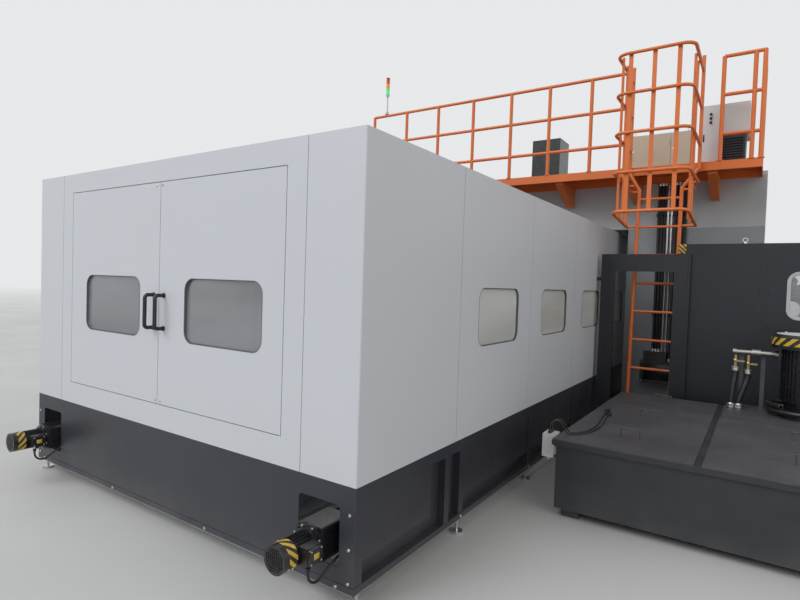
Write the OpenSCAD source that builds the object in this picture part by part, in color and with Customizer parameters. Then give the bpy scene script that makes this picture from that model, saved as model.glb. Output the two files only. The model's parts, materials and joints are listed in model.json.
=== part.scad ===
// Double-column machining centre with a full table enclosure.
// Millimetres, Z up. X runs across the machine and Y along its table travel.
// The origin is the middle of the bed's underside, on the floor.

/* [Enclosure] */
// Overall length of the enclosure
enclosure_length = 13000; // [12900:20:13400]
// Overall width of the enclosure
enclosure_width = 3270; // [3250:10:3340]
// Height of the walls' top edge above the floor
wall_top = 2330; // [2280:10:2360]
// Height of the skirt's top edge above the floor
skirt_top = 617; // [600:1:640]
// Height of the skirt's lower edge above the floor
skirt_bottom = 90; // [70:5:110]
// Thickness of the wall panels
panel_t = 40; // [30:1:50]
// Width of the open seam between two wall panels
seam = 4; // [2:1:6]
// Width of a corner panel on the end wall
corner_end_w = 368; // [340:4:400]
// Length of a corner panel on the side wall
corner_side_l = 1000; // [940:10:1040]
// Length of the middle side bay
mid_bay_l = 1240; // [1200:20:1300]
// Number of side bays between a corner panel and the middle bay
bay_count = 4; // [3:1:4]

/* [Windows] */
// Width of a window
window_w = 690; // [600:10:740]
// Height of a window
window_h = 394; // [340:2:440]
// Corner radius of a window
window_r = 75; // [40:5:100]
// Height of the windows' middle above the floor
window_mid = 1388; // [1340:2:1440]
// Thickness of a window pane
pane_t = 8; // [6:1:12]
// Middle of the right door's window from the centre seam
window_x_right = 612; // [580:2:640]
// Middle of the left door's window from the centre seam
window_x_left = 560; // [540:2:600]

/* [Doors] */
// Width of the door opening
door_open_w = 2246; // [2200:2:2260]
// Lower edge of the door opening above the floor
door_low = 772; // [740:2:800]
// Upper edge of the door opening above the floor
door_high = 2193; // [2150:1:2200]
// Gap round each door leaf
door_gap = 5; // [5:0.5:7]
// Distance of the hinge pin from the leaf's edge and face
pin_inset = 10; // [9:0.5:10]
// Diameter of a hinge pin
pin_d = 12; // [10:0.5:14]
// Distance between a handle's fixings
handle_pitch = 209; // [180:1:240]
// Diameter of the handle bar
handle_d = 24; // [20:1:28]
// Distance of the handle bar's middle in front of the leaf
handle_reach = 62; // [50:1:80]
// Distance of a handle from the centre seam
handle_inset = 55; // [45:1:80]
// Height of the handles' middle above the floor
handle_mid = 1368; // [1300:2:1430]

/* [Skirt] */
// Thickness of the skirt sheets
skirt_t = 5; // [4:0.5:8]
// Height of the band along the skirt's top
band_h = 72; // [60:1:80]
// Height of the rail along the skirt's foot
foot_rail_h = 40; // [35:1:45]
// Lower edge of the side skirt panels above the floor
side_panel_low = 235; // [200:5:260]
// Width of the motor openings
port_w = 275; // [265:1:290]
// Height of the motor openings
port_h = 305; // [290:1:320]
// Lower edge of the motor openings above the floor
port_low = 208; // [200:1:220]
// Corner radius of the motor openings
port_r = 22; // [10:1:40]
// Diameter of a levelling foot's pad
foot_d = 80; // [60:2:100]

/* [Chip conveyors] */
// Distance of a conveyor's axis from the machine's middle
conveyor_x = 1402; // [1398:1:1406]
// Height of a conveyor's axis above the floor
conveyor_z = 318; // [312:1:322]
// Outer radius of the auger
auger_r = 84; // [70:1:90]
// Diameter of the auger's shaft
auger_shaft_d = 50; // [40:1:56]
// Length of one turn of the auger
auger_pitch = 320; // [300:10:360]
// Running clearance between auger and trough
auger_clear = 14; // [10:1:18]
// Thickness of the trough's sheet
trough_t = 5; // [4:0.5:6]

/* [Geared motors] */
// Side of the gearbox
gearbox_w = 176; // [160:2:180]
// Length of the gearbox
gearbox_l = 210; // [190:5:230]
// Diameter of the motor's flange
motor_flange_d = 192; // [180:1:200]
// Diameter over the motor's fins
motor_d = 136; // [120:1:144]
// Length of the finned motor body
motor_l = 128; // [110:1:150]
// Length of the fan cover
fan_cover_l = 82; // [70:1:95]
// Distance of the flange in front of the end wall
motor_out = 62; // [50:1:75]

/* [Bed and table] */
// Gap between each end of the bed and the enclosure's end
bed_gap = 300; // [200:10:350]
// Width of the bed's foot flange
bed_w = 2300; // [2240:10:2340]
// Height of the bed
bed_h = 560; // [540:5:580]
// Thickness of the bed's foot flange
bed_flange = 80; // [60:5:100]
// Radius of an anchor hole
anchor_r = 20; // [14:1:24]
// Distance of the table guides from the middle
guide_x = 720; // [680:5:760]
// Width of a table guide
guide_w = 65; // [55:1:75]
// Height of a table guide
guide_h = 60; // [50:1:70]
// Length of the table
table_l = 6000; // [5600:50:6200]
// Width of the table
table_w = 2400; // [2300:10:2440]
// Thickness of the table
table_h = 260; // [220:5:280]
// Number of T-slots
slot_count = 9; // [5:2:9]
// Distance between T-slots
slot_pitch = 250; // [230:5:260]
// Width of a T-slot's neck
slot_w = 28; // [22:1:36]

/* [Bridge] */
// Inner face of a column from the machine's middle
column_x = 1760; // [1740:5:1790]
// Outer face of a column from the machine's middle
column_out = 3175; // [3150:5:3200]
// Rear face of the bridge, seen from the middle of the bed
bridge_rear = -1300; // [-1340:5:-1280]
// Front face of the bridge, seen from the middle of the bed
bridge_front = 300; // [260:5:360]
// Height of the crossbeam
beam_h = 630; // [620:5:650]
// Gap between the walls' top edge and the crossbeam
beam_gap = 30; // [20:1:50]
// Width of the saddle
saddle_w = 1080; // [1000:10:1140]
// Side of the ram
ram_w = 480; // [440:5:500]
// Length of the ram
ram_l = 2350; // [2250:10:2450]
// Height of the ram's underside above the floor
ram_low = 1780; // [1760:5:1840]
// Diameter of the spindle nose
spindle_d = 220; // [200:2:240]

/* [Platform] */
// Height of the platform's deck above the floor
deck_z = 2995; // [2985:5:3005]
// Depth of the platform from the bridge
deck_depth = 600; // [560:5:640]
// Left end of the platform
deck_left = -1840; // [-1900:10:-1830]
// Right end of the platform
deck_right = 3130; // [3120:5:3150]
// Height of the platform's edge beam
deck_beam = 92; // [88:1:100]
// Height of the railing's top rail above the deck
rail_top = 1110; // [1040:5:1140]
// Diameter of the railing tube
rail_d = 42; // [34:1:48]
// Height of the lowest rail above the deck
rail_first = 280; // [260:5:320]
// Height of the middle rail above the deck
rail_second = 690; // [650:5:740]

/* [Ladder] */
// Middle of the ladder
ladder_x = 2200; // [2180:5:2205]
// Distance between the ladder's side tubes
ladder_w = 424; // [400:2:426]
// Distance of the ladder's foot in front of its upper end
ladder_lean = 200; // [150:10:210]
// Diameter of the ladder's side tubes
stile_d = 40; // [36:1:42]
// Distance between two rungs
rung_pitch = 312; // [290:2:330]
// Diameter of a rung
rung_d = 28; // [22:1:34]
// Distance between the cage's two side planes
cage_w = 690; // [660:5:700]
// Depth of the cage in front of the ladder
cage_depth = 800; // [740:10:820]
// Height of the cage's lowest hoop above the floor
cage_low = 2390; // [2370:5:2400]
// Drop of the lowest hoop towards the ladder
hoop_drop = 75; // [0:5:80]
// Distance between two hoops
hoop_pitch = 390; // [380:2:396]
// Diameter of a hoop's tube
hoop_d = 32; // [26:1:36]

/* [Gate and magazine] */
// Height of the gate above the floor
gate_top = 1995; // [1940:5:2040]
// Width of the gate frame
gate_w = 880; // [860:5:900]
// Height of the gate frame's head
gate_head = 185; // [160:5:200]
// Width of a gate jamb
jamb_w = 146; // [130:2:150]
// Depth of the gate frame
gate_t = 40; // [35:1:45]
// Front plane of the gate frame
gate_y = -2240; // [-2260:5:-2230]
// Left side of the magazine housing
house_left = 2440; // [2436:2:2450]
// Right side of the magazine housing
house_right = 4520; // [4480:10:4640]
// Height of the magazine housing
house_top = 2100; // [2090:5:2160]
// Radius of the tool magazine's disc
disc_r = 560; // [520:5:600]
// Number of tool pockets
pocket_count = 24; // [16:1:24]

/* [Coolant tank] */
// Left side of the tank
tank_left = 2035; // [2010:5:2060]
// Right side of the tank
tank_right = 4000; // [3900:10:4100]
// Front side of the tank
tank_front = -4750; // [-4800:10:-4700]
// Rear side of the tank
tank_rear = -2570; // [-2590:5:-2550]
// Height of the tank's rim above the floor
tank_top = 540; // [520:5:560]
// Thickness of the tank's sheet
tank_t = 6; // [4:1:8]

/* [Hidden] */
$fn = 48;
touch = 0.02;

// Main planes worked out from the driving sizes
half_l = enclosure_length / 2;
half_w = enclosure_width / 2;
end_y = -half_l;
inner_x = half_w - panel_t;
bay_l = (half_l - corner_side_l - mid_bay_l / 2) / bay_count;
bay_starts = concat(
    [for (k = [0:bay_count - 1]) end_y + corner_side_l + k * bay_l],
    [-mid_bay_l / 2],
    [for (k = [0:bay_count - 1]) mid_bay_l / 2 + k * bay_l]);
beam_low = wall_top + beam_gap;
beam_top = beam_low + beam_h;
band_low = skirt_top - band_h;
foot_rail_top = skirt_bottom + foot_rail_h;
frame_d = 50;
post_w = 60;
leaf_w = (door_open_w - 3 * door_gap) / 2;
pin_x = door_open_w / 2 - door_gap - pin_inset;
pin_y = end_y + pin_inset;
pin_l = 24;
pin_clear = 0.1;
bed_l = enclosure_length - 2 * bed_gap;
anchor_x = bed_w / 2 - 60;
anchor_y = bed_l / 2 - 200;
guide_z = bed_h + 40;
table_low = guide_z + guide_h + 12;
table_top = table_low + table_h;
deck_front = bridge_rear - deck_depth;
ladder_y = deck_front - 46;
saddle_y = bridge_front + 62;
saddle_t = 230;
ram_y = saddle_y + saddle_t + ram_w / 2;
gate_rear = gate_y + gate_t;
house_y = gate_rear;
house_depth = bridge_rear - house_y;
gate_x = half_w + 47;
disc_x = 3560;
disc_z = 1230;
disc_y = house_y + 330;

// A rectangle with round corners, drawn about its middle
module rounded(w, h, r) {
    square([w - 2 * r, h], center = true);
    square([w, h - 2 * r], center = true);
    for (x = [-1, 1], z = [-1, 1])
        translate([x * (w / 2 - r), z * (h / 2 - r)])
            circle(r = r);
}

// A block between two corners
module block(low, high) {
    translate(low)
        cube(high - low);
}

// A flat outline stood up facing -Y, from y0 back to y0 + t
module facing_front(y0, t) {
    translate([0, y0 + t, 0])
        rotate([90, 0, 0])
            linear_extrude(height = t)
                children();
}

// A flat outline in Y and Z, from x0 to x0 + t
module facing_side(x0, t) {
    translate([x0, 0, 0])
        rotate([90, 0, 90])
            linear_extrude(height = t)
                children();
}

// A straight round bar between two points
module bar(p, q, d) {
    v = q - p;
    translate(p)
        rotate([0, acos(v[2] / norm(v)), atan2(v[1], v[0])])
            cylinder(h = norm(v), d = d);
}

// A round bar bent through an angle, in the XY plane, about its own centre
module bend(r, from_angle, angle, d) {
    rotate([0, 0, from_angle])
        rotate_extrude(angle = angle)
            translate([r, 0])
                circle(d = d, $fn = 32);
}

// A tube swept along a list of points with eight sides
function flat_dir(a, b) = (b - a) / norm(b - a);
function path_dir(pts, i) =
    i == 0 ? flat_dir(pts[0], pts[1]) :
    i == len(pts) - 1 ? flat_dir(pts[i - 1], pts[i]) : flat_dir(pts[i - 1], pts[i + 1]);
function path_side(dir) = abs(dir[2]) > 0.9 ?
    cross([1, 0, 0], dir) / norm(cross([1, 0, 0], dir)) :
    cross([0, 0, 1], dir) / norm(cross([0, 0, 1], dir));
function curve_point(p0, p1, p2, p3, t) =
    0.5 * (2 * p1 + (p2 - p0) * t + (2 * p0 - 5 * p1 + 4 * p2 - p3) * t * t
        + (3 * p1 - p0 - 3 * p2 + p3) * t * t * t);
function smooth_path(pts, steps) = concat(
    [for (i = [0:len(pts) - 2], k = [0:steps - 1])
        curve_point(pts[max(i - 1, 0)], pts[i], pts[i + 1], pts[min(i + 2, len(pts) - 1)], k / steps)],
    [pts[len(pts) - 1]]);
function ring_points(pts, d, side, i) =
    let (dir = path_dir(pts, i), u = side - dir * (side * dir), un = u / norm(u), w = cross(dir, un))
    [for (k = [0:7]) pts[i] + (un * cos(45 * k) + w * sin(45 * k)) * d / 2];
module hose(points, d, side, steps = 5) {
    pts = smooth_path(points, steps);
    n = len(pts);
    polyhedron(
        points = [for (i = [0:n - 1]) each ring_points(pts, d, side, i)],
        faces = concat(
            [[for (k = [0:7]) k]],
            [for (i = [0:n - 2], k = [0:7])
                [8 * i + k, 8 * (i + 1) + k, 8 * (i + 1) + (k + 1) % 8, 8 * i + (k + 1) % 8]],
            [[for (k = [7:-1:0]) 8 * (n - 1) + k]]));
}

// Ribbed casting that carries the table, with anchor holes in its foot flange
module bed() {
    web_x = guide_x + 110;
    rib_pitch = 620;
    pocket_h = bed_h - bed_flange - 150;
    color("lightslategray")
        difference() {
            union() {
                block([-bed_w / 2, -bed_l / 2, 0], [bed_w / 2, bed_l / 2, bed_flange]);
                block([-column_x, bridge_rear + 50, 0], [column_x, bridge_rear + 700, skirt_bottom - 12]);
                block([-web_x, -bed_l / 2, bed_flange - 1], [web_x, bed_l / 2, bed_h - 60]);
                for (s = [-1, 1])
                    translate([s * guide_x, 0, 0])
                        block([-110, -bed_l / 2, bed_h - 70], [110, bed_l / 2, guide_z]);
            }
            for (s = [-1, 1], k = [0:floor(bed_l / rib_pitch) - 1])
                translate([s * web_x, (k - (floor(bed_l / rib_pitch) - 1) / 2) * rib_pitch, 0])
                    block([-130, -rib_pitch / 2 + 40, bed_flange + 30],
                        [130, rib_pitch / 2 - 40, bed_flange + 30 + pocket_h]);
            for (x = [-1, 1], y = [-1, 1])
                translate([x * anchor_x, y * anchor_y, -1])
                    cylinder(h = bed_flange + 2, r = anchor_r);
        }
}

// Two linear guides along the bed
module table_guides() {
    color("silver")
        for (s = [-1, 1])
            translate([s * guide_x, 0, guide_z])
                facing_front(-bed_l / 2 + 100, bed_l - 200)
                    polygon([[-guide_w / 2, 0], [guide_w / 2, 0], [guide_w / 2, guide_h * 0.45],
                        [guide_w / 2 - 8, guide_h * 0.6], [guide_w / 2, guide_h * 0.8],
                        [guide_w / 2, guide_h], [-guide_w / 2, guide_h], [-guide_w / 2, guide_h * 0.8],
                        [-guide_w / 2 + 8, guide_h * 0.6], [-guide_w / 2, guide_h * 0.45]]);
}

// Fixed ball screw between its end supports
module table_screw() {
    screw_z = bed_h + 10;
    color("darkgray") {
        translate([0, -bed_l / 2 + 120, screw_z])
            rotate([-90, 0, 0])
                cylinder(h = bed_l - 240, d = 80);
        for (s = [-1, 1])
            translate([0, s * (bed_l / 2 - 160), 0])
                block([-110, -60, bed_h - 60], [110, 60, screw_z + 60]);
    }
}

// Table plate with T-slots, its guide carriages and its nut housing
module table() {
    neck_h = slot_w * 1.1;
    head_w = slot_w * 1.75;
    head_h = slot_w * 0.8;
    carriage_l = 320;
    color("slategray") {
        difference() {
            block([-table_w / 2, -table_l / 2, table_low], [table_w / 2, table_l / 2, table_top]);
            for (k = [0:slot_count - 1])
                translate([(k - (slot_count - 1) / 2) * slot_pitch, 0, table_top])
                    facing_front(-table_l / 2 - 1, table_l + 2)
                        polygon([[-slot_w / 2, 1], [slot_w / 2, 1], [slot_w / 2, -neck_h],
                            [head_w / 2, -neck_h], [head_w / 2, -neck_h - head_h],
                            [-head_w / 2, -neck_h - head_h], [-head_w / 2, -neck_h],
                            [-slot_w / 2, -neck_h]]);
        }
        for (s = [-1, 1], k = [0:3])
            translate([s * guide_x, (k - 1.5) * (table_l - carriage_l) / 3, guide_z])
                difference() {
                    block([-100, -carriage_l / 2, 14], [100, carriage_l / 2, table_low - guide_z + touch]);
                    block([-guide_w / 2 - 0.5, -carriage_l, 0], [guide_w / 2 + 0.5, carriage_l, guide_h + 0.5]);
                }
        difference() {
            block([-90, -150, bed_h - 50], [90, 150, table_low + touch]);
            translate([0, -151, bed_h + 10])
                rotate([-90, 0, 0])
                    cylinder(h = 302, d = 81);
        }
    }
}

trough_r = auger_r + auger_clear;
trough_back = half_l - 140;
trough_front = end_y - motor_out + gearbox_l;
stub_d = auger_shaft_d * 0.6;
stub_l = 70;
end_plate_w = 2 * (trough_r + trough_t + 12);

// U-shaped chip troughs on welded legs, one along each side of the bed
module conveyor_troughs() {
    lip_z = conveyor_z + 40;
    foot_t = 10;
    color("dimgray")
        for (s = [0, 1])
            mirror([s, 0, 0])
                translate([conveyor_x, 0, 0]) {
                translate([0, 0, conveyor_z])
                    facing_front(trough_front + 1.5, trough_back - trough_front - 3)
                        difference() {
                            union() {
                                circle(r = trough_r + trough_t);
                                translate([-trough_r - trough_t, 0])
                                    square([2 * (trough_r + trough_t), lip_z - conveyor_z]);
                            }
                            circle(r = trough_r);
                            translate([-trough_r, 0])
                                square([2 * trough_r, trough_r + 10]);
                        }
                for (y = [trough_front, trough_back - trough_t])
                    difference() {
                        block([-end_plate_w / 2, y, conveyor_z - trough_r - 9], [end_plate_w / 2, y + trough_t, lip_z - 2]);
                        translate([0, y - 1, conveyor_z])
                            rotate([-90, 0, 0])
                                cylinder(h = trough_t + 2, d = stub_d + 0.1);
                    }
                for (k = [0:6])
                    translate([0, trough_front + 150 + k * (trough_back - trough_front - 300) / 6, 0]) {
                        block([bed_w / 2 - conveyor_x, -40, 0], [90, 40, foot_t]);
                        difference() {
                            block([-70, -30, 5], [70, 30, conveyor_z - trough_r + 20]);
                            translate([0, -31, conveyor_z])
                                rotate([-90, 0, 0])
                                    cylinder(h = 62, r = trough_r + trough_t - 2);
                            block([-55, -31, 7], [55, 31, conveyor_z - trough_r - 25]);
                        }
                    }
            }
}

flight_steps = 10;
flight_t = 10;
// Helical flight along Y, as a ribbon of four-cornered sections
module flight(length, r_in, r_out) {
    n = round(length / auger_pitch * flight_steps);
    corners = [[r_in, 0], [r_out, 0], [r_out, flight_t], [r_in, flight_t]];
    polyhedron(
        points = [for (i = [0:n]) let (a = 360 * i / flight_steps, y = (length - flight_t) * i / n)
            each [for (c = corners) [c[0] * cos(a), y + c[1], c[0] * sin(a)]]],
        faces = concat(
            [[0, 1, 2, 3]],
            [for (i = [0:n - 1], k = [0:3])
                each [[4 * i + k, 4 * (i + 1) + k, 4 * (i + 1) + (k + 1) % 4],
                    [4 * i + k, 4 * (i + 1) + (k + 1) % 4, 4 * i + (k + 1) % 4]]],
            [[for (k = [3:-1:0]) 4 * n + k]]));
}

// Auger with its shaft and helical flight
module auger() {
    flight_front = trough_front + 30;
    flight_l = trough_back - trough_front - 60;
    shaft_front = trough_front + trough_t + 2;
    translate([0, trough_front - stub_l, conveyor_z])
        rotate([-90, 0, 0])
            cylinder(h = stub_l + trough_t + 3, d = stub_d);
    translate([0, shaft_front, conveyor_z])
        rotate([-90, 0, 0])
            cylinder(h = trough_back - trough_t - 2 - shaft_front, d = auger_shaft_d);
    translate([0, trough_back - trough_t - 3, conveyor_z])
        rotate([-90, 0, 0])
            cylinder(h = trough_t + 12, d = stub_d);
    translate([0, flight_front, conveyor_z])
        flight(flight_l, (auger_shaft_d / 2 + 0.1) / cos(180 / flight_steps), auger_r);
}

module auger_right() {
    color("gray")
        translate([conveyor_x, 0, 0])
            auger();
}

module auger_left() {
    color("gray")
        translate([-conveyor_x, 0, 0])
            auger();
}

// Geared motor: gearbox, flange, finned body and terminal box
module gearmotor() {
    flange_y = end_y - motor_out;
    body_y = flange_y - 16 - motor_l;
    fin_count = 28;
    translate([0, 0, conveyor_z]) {
        difference() {
            facing_front(flange_y, gearbox_l)
                rounded(gearbox_w, gearbox_w, 24);
            translate([0, trough_front - stub_l - 1, 0])
                rotate([-90, 0, 0])
                    cylinder(h = stub_l + 2, d = stub_d + 0.1);
            for (x = [-1, 1], z = [-1, 1])
                translate([x * (gearbox_w / 2 - 18), flange_y - 1, z * (gearbox_w / 2 - 18)])
                    rotate([-90, 0, 0])
                        cylinder(h = 14, d = 11);
        }
        facing_front(flange_y - 16, 16 + touch)
            circle(d = motor_flange_d);
        facing_front(flange_y - 34, 18 + touch)
            circle(d = motor_flange_d - 34);
        facing_front(body_y, motor_l - 17)
            union() {
                circle(d = motor_d - 16);
                for (k = [0:fin_count - 1])
                    rotate([0, 0, k * 360 / fin_count])
                        translate([motor_d / 2 - 12, -1.8])
                            square([12, 3.6]);
            }
        for (x = [-1, 1], z = [-1, 1])
            translate([x * (motor_flange_d / 2 - 12) * 0.72, flange_y - 16, z * (motor_flange_d / 2 - 12) * 0.72])
                rotate([90, 0, 0])
                    cylinder(h = 7, d = 14, $fn = 6);
    }
}

module terminal_box() {
    translate([motor_d / 2 - 10, end_y - motor_out - 16 - motor_l + 14, conveyor_z - 40]) {
        block([0, 0, 0], [52, 92, 84]);
        translate([52 - touch, 46, 42])
            rotate([90, 0, 90])
                linear_extrude(height = 16)
                    rounded(86, 78, 10);
        translate([30, 46, -18])
            cylinder(h = 20, d = 22, $fn = 6);
    }
}

module gearmotors() {
    color("#1c1d20")
        for (s = [-1, 1])
            translate([s * conveyor_x, 0, 0]) {
                gearmotor();
                terminal_box();
            }
}

// Pressed fan covers with a square mesh end
module fan_covers() {
    cover_y = end_y - motor_out - 16 - motor_l - fan_cover_l;
    cover_d = motor_d + 2;
    mesh = 12;
    color("#26272a")
        for (s = [-1, 1])
            translate([s * conveyor_x, 0, conveyor_z]) {
                facing_front(cover_y, fan_cover_l)
                    difference() {
                        circle(d = cover_d);
                        circle(d = cover_d - 6);
                    }
                facing_front(cover_y + fan_cover_l - 3, 3)
                    difference() {
                        circle(d = cover_d - 4);
                        circle(d = motor_d - 60);
                    }
                facing_front(cover_y - 3, 3 + touch)
                    difference() {
                        circle(d = cover_d);
                        for (i = [-4:4], j = [-4:4])
                            if (norm([i, j]) * mesh < cover_d / 2 - 14)
                                translate([i * mesh, j * mesh])
                                    square(mesh - 3.5, center = true);
                    }
            }
}

// Points of one motor cable, from its gland round and back into the port
function cable_points() =
    let (x = motor_d / 2 + 20, y = end_y - motor_out - motor_l + 44, z = conveyor_z - 58.2)
    [[x, y, z], [x, y + 4, z - 40], [x + 4, y + 26, z - 80], [x + 10, y + 70, z - 76],
        [x + 18, y + 140, z - 34], [x + 20, y + 210, z - 12], [gearbox_w / 2 + 14, trough_front - 2.5, z]];

module motor_cables() {
    color("#151515")
        for (s = [-1, 1])
            translate([s * conveyor_x, 0, 0])
                hose(cable_points(), 13, [1, 0, 0], 4);
}

// Welded skirt frame: top band, foot rail and posts
module skirt_frame() {
    front = end_y + skirt_t;
    color("#34363c") {
        for (z = [[band_low, skirt_top], [skirt_bottom, foot_rail_top]])
            difference() {
                block([-half_w, front, z[0]], [half_w, -front, z[1]]);
                block([-half_w + frame_d, front + frame_d, z[0] - 1],
                    [half_w - frame_d, -front - frame_d, z[1] + 1]);
            }
        for (s = [-1, 1])
            for (y = concat([front, -front - post_w, end_y + 880, half_l - 940], [for (b = bay_starts) b + 70]))
                block([s > 0 ? half_w - frame_d : -half_w, y, foot_rail_top - touch],
                    [s > 0 ? half_w - 2 : -half_w + frame_d, y + post_w, band_low + touch]);
    }
}

// End skirt sheets with the motor ports, and the toe strips below them
module end_skirts() {
    color("#3a3c43") {
        difference() {
            block([-half_w, end_y, foot_rail_top + 3], [half_w, end_y + skirt_t, skirt_top]);
            for (s = [-1, 1])
                translate([s * conveyor_x, 0, port_low + port_h / 2])
                    facing_front(end_y - 1, skirt_t + 2)
                        rounded(port_w, port_h, port_r);
        }
        block([-half_w, end_y, skirt_bottom], [half_w, end_y + skirt_t, foot_rail_top]);
        block([-half_w, half_l - skirt_t, foot_rail_top + 3], [half_w, half_l, skirt_top]);
        block([-half_w, half_l - skirt_t, skirt_bottom], [half_w, half_l, foot_rail_top]);
    }
}

// Recessed sheets between the side posts of the skirt, and the liner behind them
module side_skirt_panels() {
    spans = concat(
        [[end_y + skirt_t + post_w + 4, end_y + 720]],
        [for (b = bay_starts) if (b < bay_starts[len(bay_starts) - 1]) [b + 134, b + 70 + bay_l - 4]],
        [[half_l - 930 + 54, half_l - skirt_t - post_w - 4]]);
    color("#303239")
        for (s = [-1, 1], p = spans)
            block([s > 0 ? half_w - 14 : -half_w + 8, p[0], side_panel_low],
                [s > 0 ? half_w - 8 : -half_w + 14, p[1], band_low]);
    color("#1d1e22")
        for (s = [-1, 1])
            block([s > 0 ? half_w - frame_d - 3 : -half_w + frame_d, end_y + skirt_t + frame_d + 2, skirt_bottom],
                [s > 0 ? half_w - frame_d : -half_w + frame_d + 3, half_l - skirt_t - frame_d - 2, skirt_top - 4]);
}

// Threaded feet under the foot rail
module levelling_feet() {
    color("silver")
        for (s = [-1, 1], y = concat([end_y + 60, half_l - 60], [for (b = bay_starts) b + 100]))
            translate([s * (half_w - frame_d / 2), y, 0]) {
                cylinder(h = 14, d = foot_d);
                cylinder(h = skirt_bottom, d = 20);
                translate([0, 0, skirt_bottom - 14])
                    cylinder(h = 14, d = 34, $fn = 6);
            }
}

module screw_head() {
    difference() {
        rotate_extrude()
            polygon([[0, 0], [9, 0], [9, 3], [7, 6], [0, 6]]);
        translate([0, 0, 3])
            cylinder(h = 4, d = 7, $fn = 6);
    }
}

// Button-head screws of the skirt
module skirt_screws() {
    color("silver") {
        for (s = [-1, 1], z = [146, 311, 479])
            translate([s * (half_w - 34), end_y, z])
                rotate([90, 0, 0])
                    screw_head();
        for (x = [-1, -1 / 3, 1 / 3, 1])
            translate([x * (half_w - 110), end_y, skirt_bottom + foot_rail_h / 2])
                rotate([90, 0, 0])
                    screw_head();
        for (s = [-1, 1], b = bay_starts, z = [skirt_bottom + foot_rail_h / 2])
            translate([s * half_w, b + 100, z])
                rotate([0, s * 90, 0])
                    screw_head();
    }
}

// One folded corner panel, seen from above
module corner_outline() {
    r = 8;
    union() {
        difference() {
            union() {
                translate([0, -half_l + r])
                    translate([half_w - corner_end_w, 0])
                        square([corner_end_w, corner_side_l - seam / 2 - r]);
                translate([half_w - corner_end_w, -half_l])
                    square([corner_end_w - r, r + 1]);
                translate([half_w - r, -half_l + r])
                    circle(r = r);
            }
            translate([half_w - corner_end_w - 1, -half_l + panel_t])
                square([corner_end_w + 1 - panel_t, corner_side_l]);
        }
    }
}

// The four folded corner panels
module corner_panels() {
    color("#e4e6e8")
        for (a = [0, 1], b = [0, 1])
            mirror([a, 0, 0])
                mirror([0, b, 0])
                    translate([0, 0, skirt_top])
                        linear_extrude(height = wall_top - skirt_top)
                            corner_outline();
}

// End wall panel round the double doors, with bushed holes for their hinge pins
module front_surround() {
    surround_w = enclosure_width - 2 * corner_end_w - 2 * seam;
    color("#e4e6e8")
        difference() {
            block([-surround_w / 2, end_y, skirt_top], [surround_w / 2, end_y + panel_t, wall_top]);
            block([-door_open_w / 2, end_y - 1, door_low], [door_open_w / 2, end_y + panel_t + 1, door_high]);
            for (s = [-1, 1], z = [door_low - pin_l + 2, door_high - 2])
                translate([s * pin_x, pin_y, z])
                    cylinder(h = pin_l, d = pin_d + 2 * pin_clear);
        }
}

// Plain far end wall
module rear_wall() {
    wall_w = enclosure_width - 2 * corner_end_w - 2 * seam;
    color("#e4e6e8")
        difference() {
            block([-wall_w / 2, half_l - panel_t, skirt_top], [wall_w / 2, half_l, wall_top]);
            for (s = [-1, 1])
                translate([s * (window_x_left + window_x_right) / 2, 0, window_mid])
                    facing_front(half_l - panel_t - 1, panel_t + 2)
                        rounded(window_w, window_h, window_r);
        }
}

// Side wall panels, one to each bay, with a window in all but the middle one
module wall_panels() {
    last = len(bay_starts) - 1;
    color("#e0e2e4")
        for (s = [-1, 1], k = [0:last]) {
            long = k == bay_count ? mid_bay_l : bay_l;
            mid_y = bay_starts[k] + long / 2;
            x0 = s > 0 ? half_w - panel_t : -half_w;
            difference() {
                block([x0, bay_starts[k] + seam / 2, skirt_top], [x0 + panel_t, bay_starts[k] + long - seam / 2, wall_top]);
                if (k != bay_count)
                    translate([0, mid_y, window_mid])
                        facing_side(x0 - 1, panel_t + 2)
                            rounded(window_w, window_h, window_r);
            }
        }
}

// Panes of the side and far windows, set in their panels
module wall_windows() {
    last = len(bay_starts) - 1;
    color("#b9c4cc", 0.6) {
        for (s = [-1, 1], k = [0:last])
            if (k != bay_count)
                translate([0, bay_starts[k] + bay_l / 2, window_mid])
                    facing_side(s * (half_w - panel_t / 2) - pane_t / 2, pane_t)
                        rounded(window_w - 0.6, window_h - 0.6, window_r - 0.3);
        for (s = [-1, 1])
            translate([s * (window_x_left + window_x_right) / 2, 0, window_mid])
                facing_front(half_l - panel_t / 2 - pane_t / 2, pane_t)
                    rounded(window_w - 0.6, window_h - 0.6, window_r - 0.3);
    }
}

// Posts and top rails behind the wall panels, one frame to each wall
module enclosure_frame() {
    ring = 40;
    seat = 0.3;
    out_x = inner_x;
    out_y = half_l - panel_t;
    end_post_x = half_w - corner_end_w - seam / 2;
    posts = concat([end_y + corner_side_l - ring / 2], [for (k = [1:len(bay_starts) - 1]) bay_starts[k] - ring / 2],
        [half_l - corner_side_l - ring / 2]);
    color("#d6d8da") {
        for (s = [0, 1])
            mirror([s, 0, 0]) {
                block([out_x - ring, -out_y, wall_top - ring], [out_x, out_y, wall_top]);
                for (y = [bridge_rear + 200, bridge_front - 300])
                    block([out_x - ring, y, wall_top - touch], [out_x, y + 100, beam_low]);
                for (y = posts)
                    block([out_x - ring, y, skirt_top], [out_x, y + ring, wall_top - ring + touch]);
            }
        for (s = [0, 1])
            mirror([0, s, 0]) {
                block([-out_x + ring + seat, -out_y, wall_top - ring], [out_x - ring - seat, -out_y + ring, wall_top]);
                for (x = [-1, 1])
                    block([x * end_post_x - ring / 2, -out_y, skirt_top],
                        [x * end_post_x + ring / 2, -out_y + ring, wall_top - ring + touch]);
            }
    }
}

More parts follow.
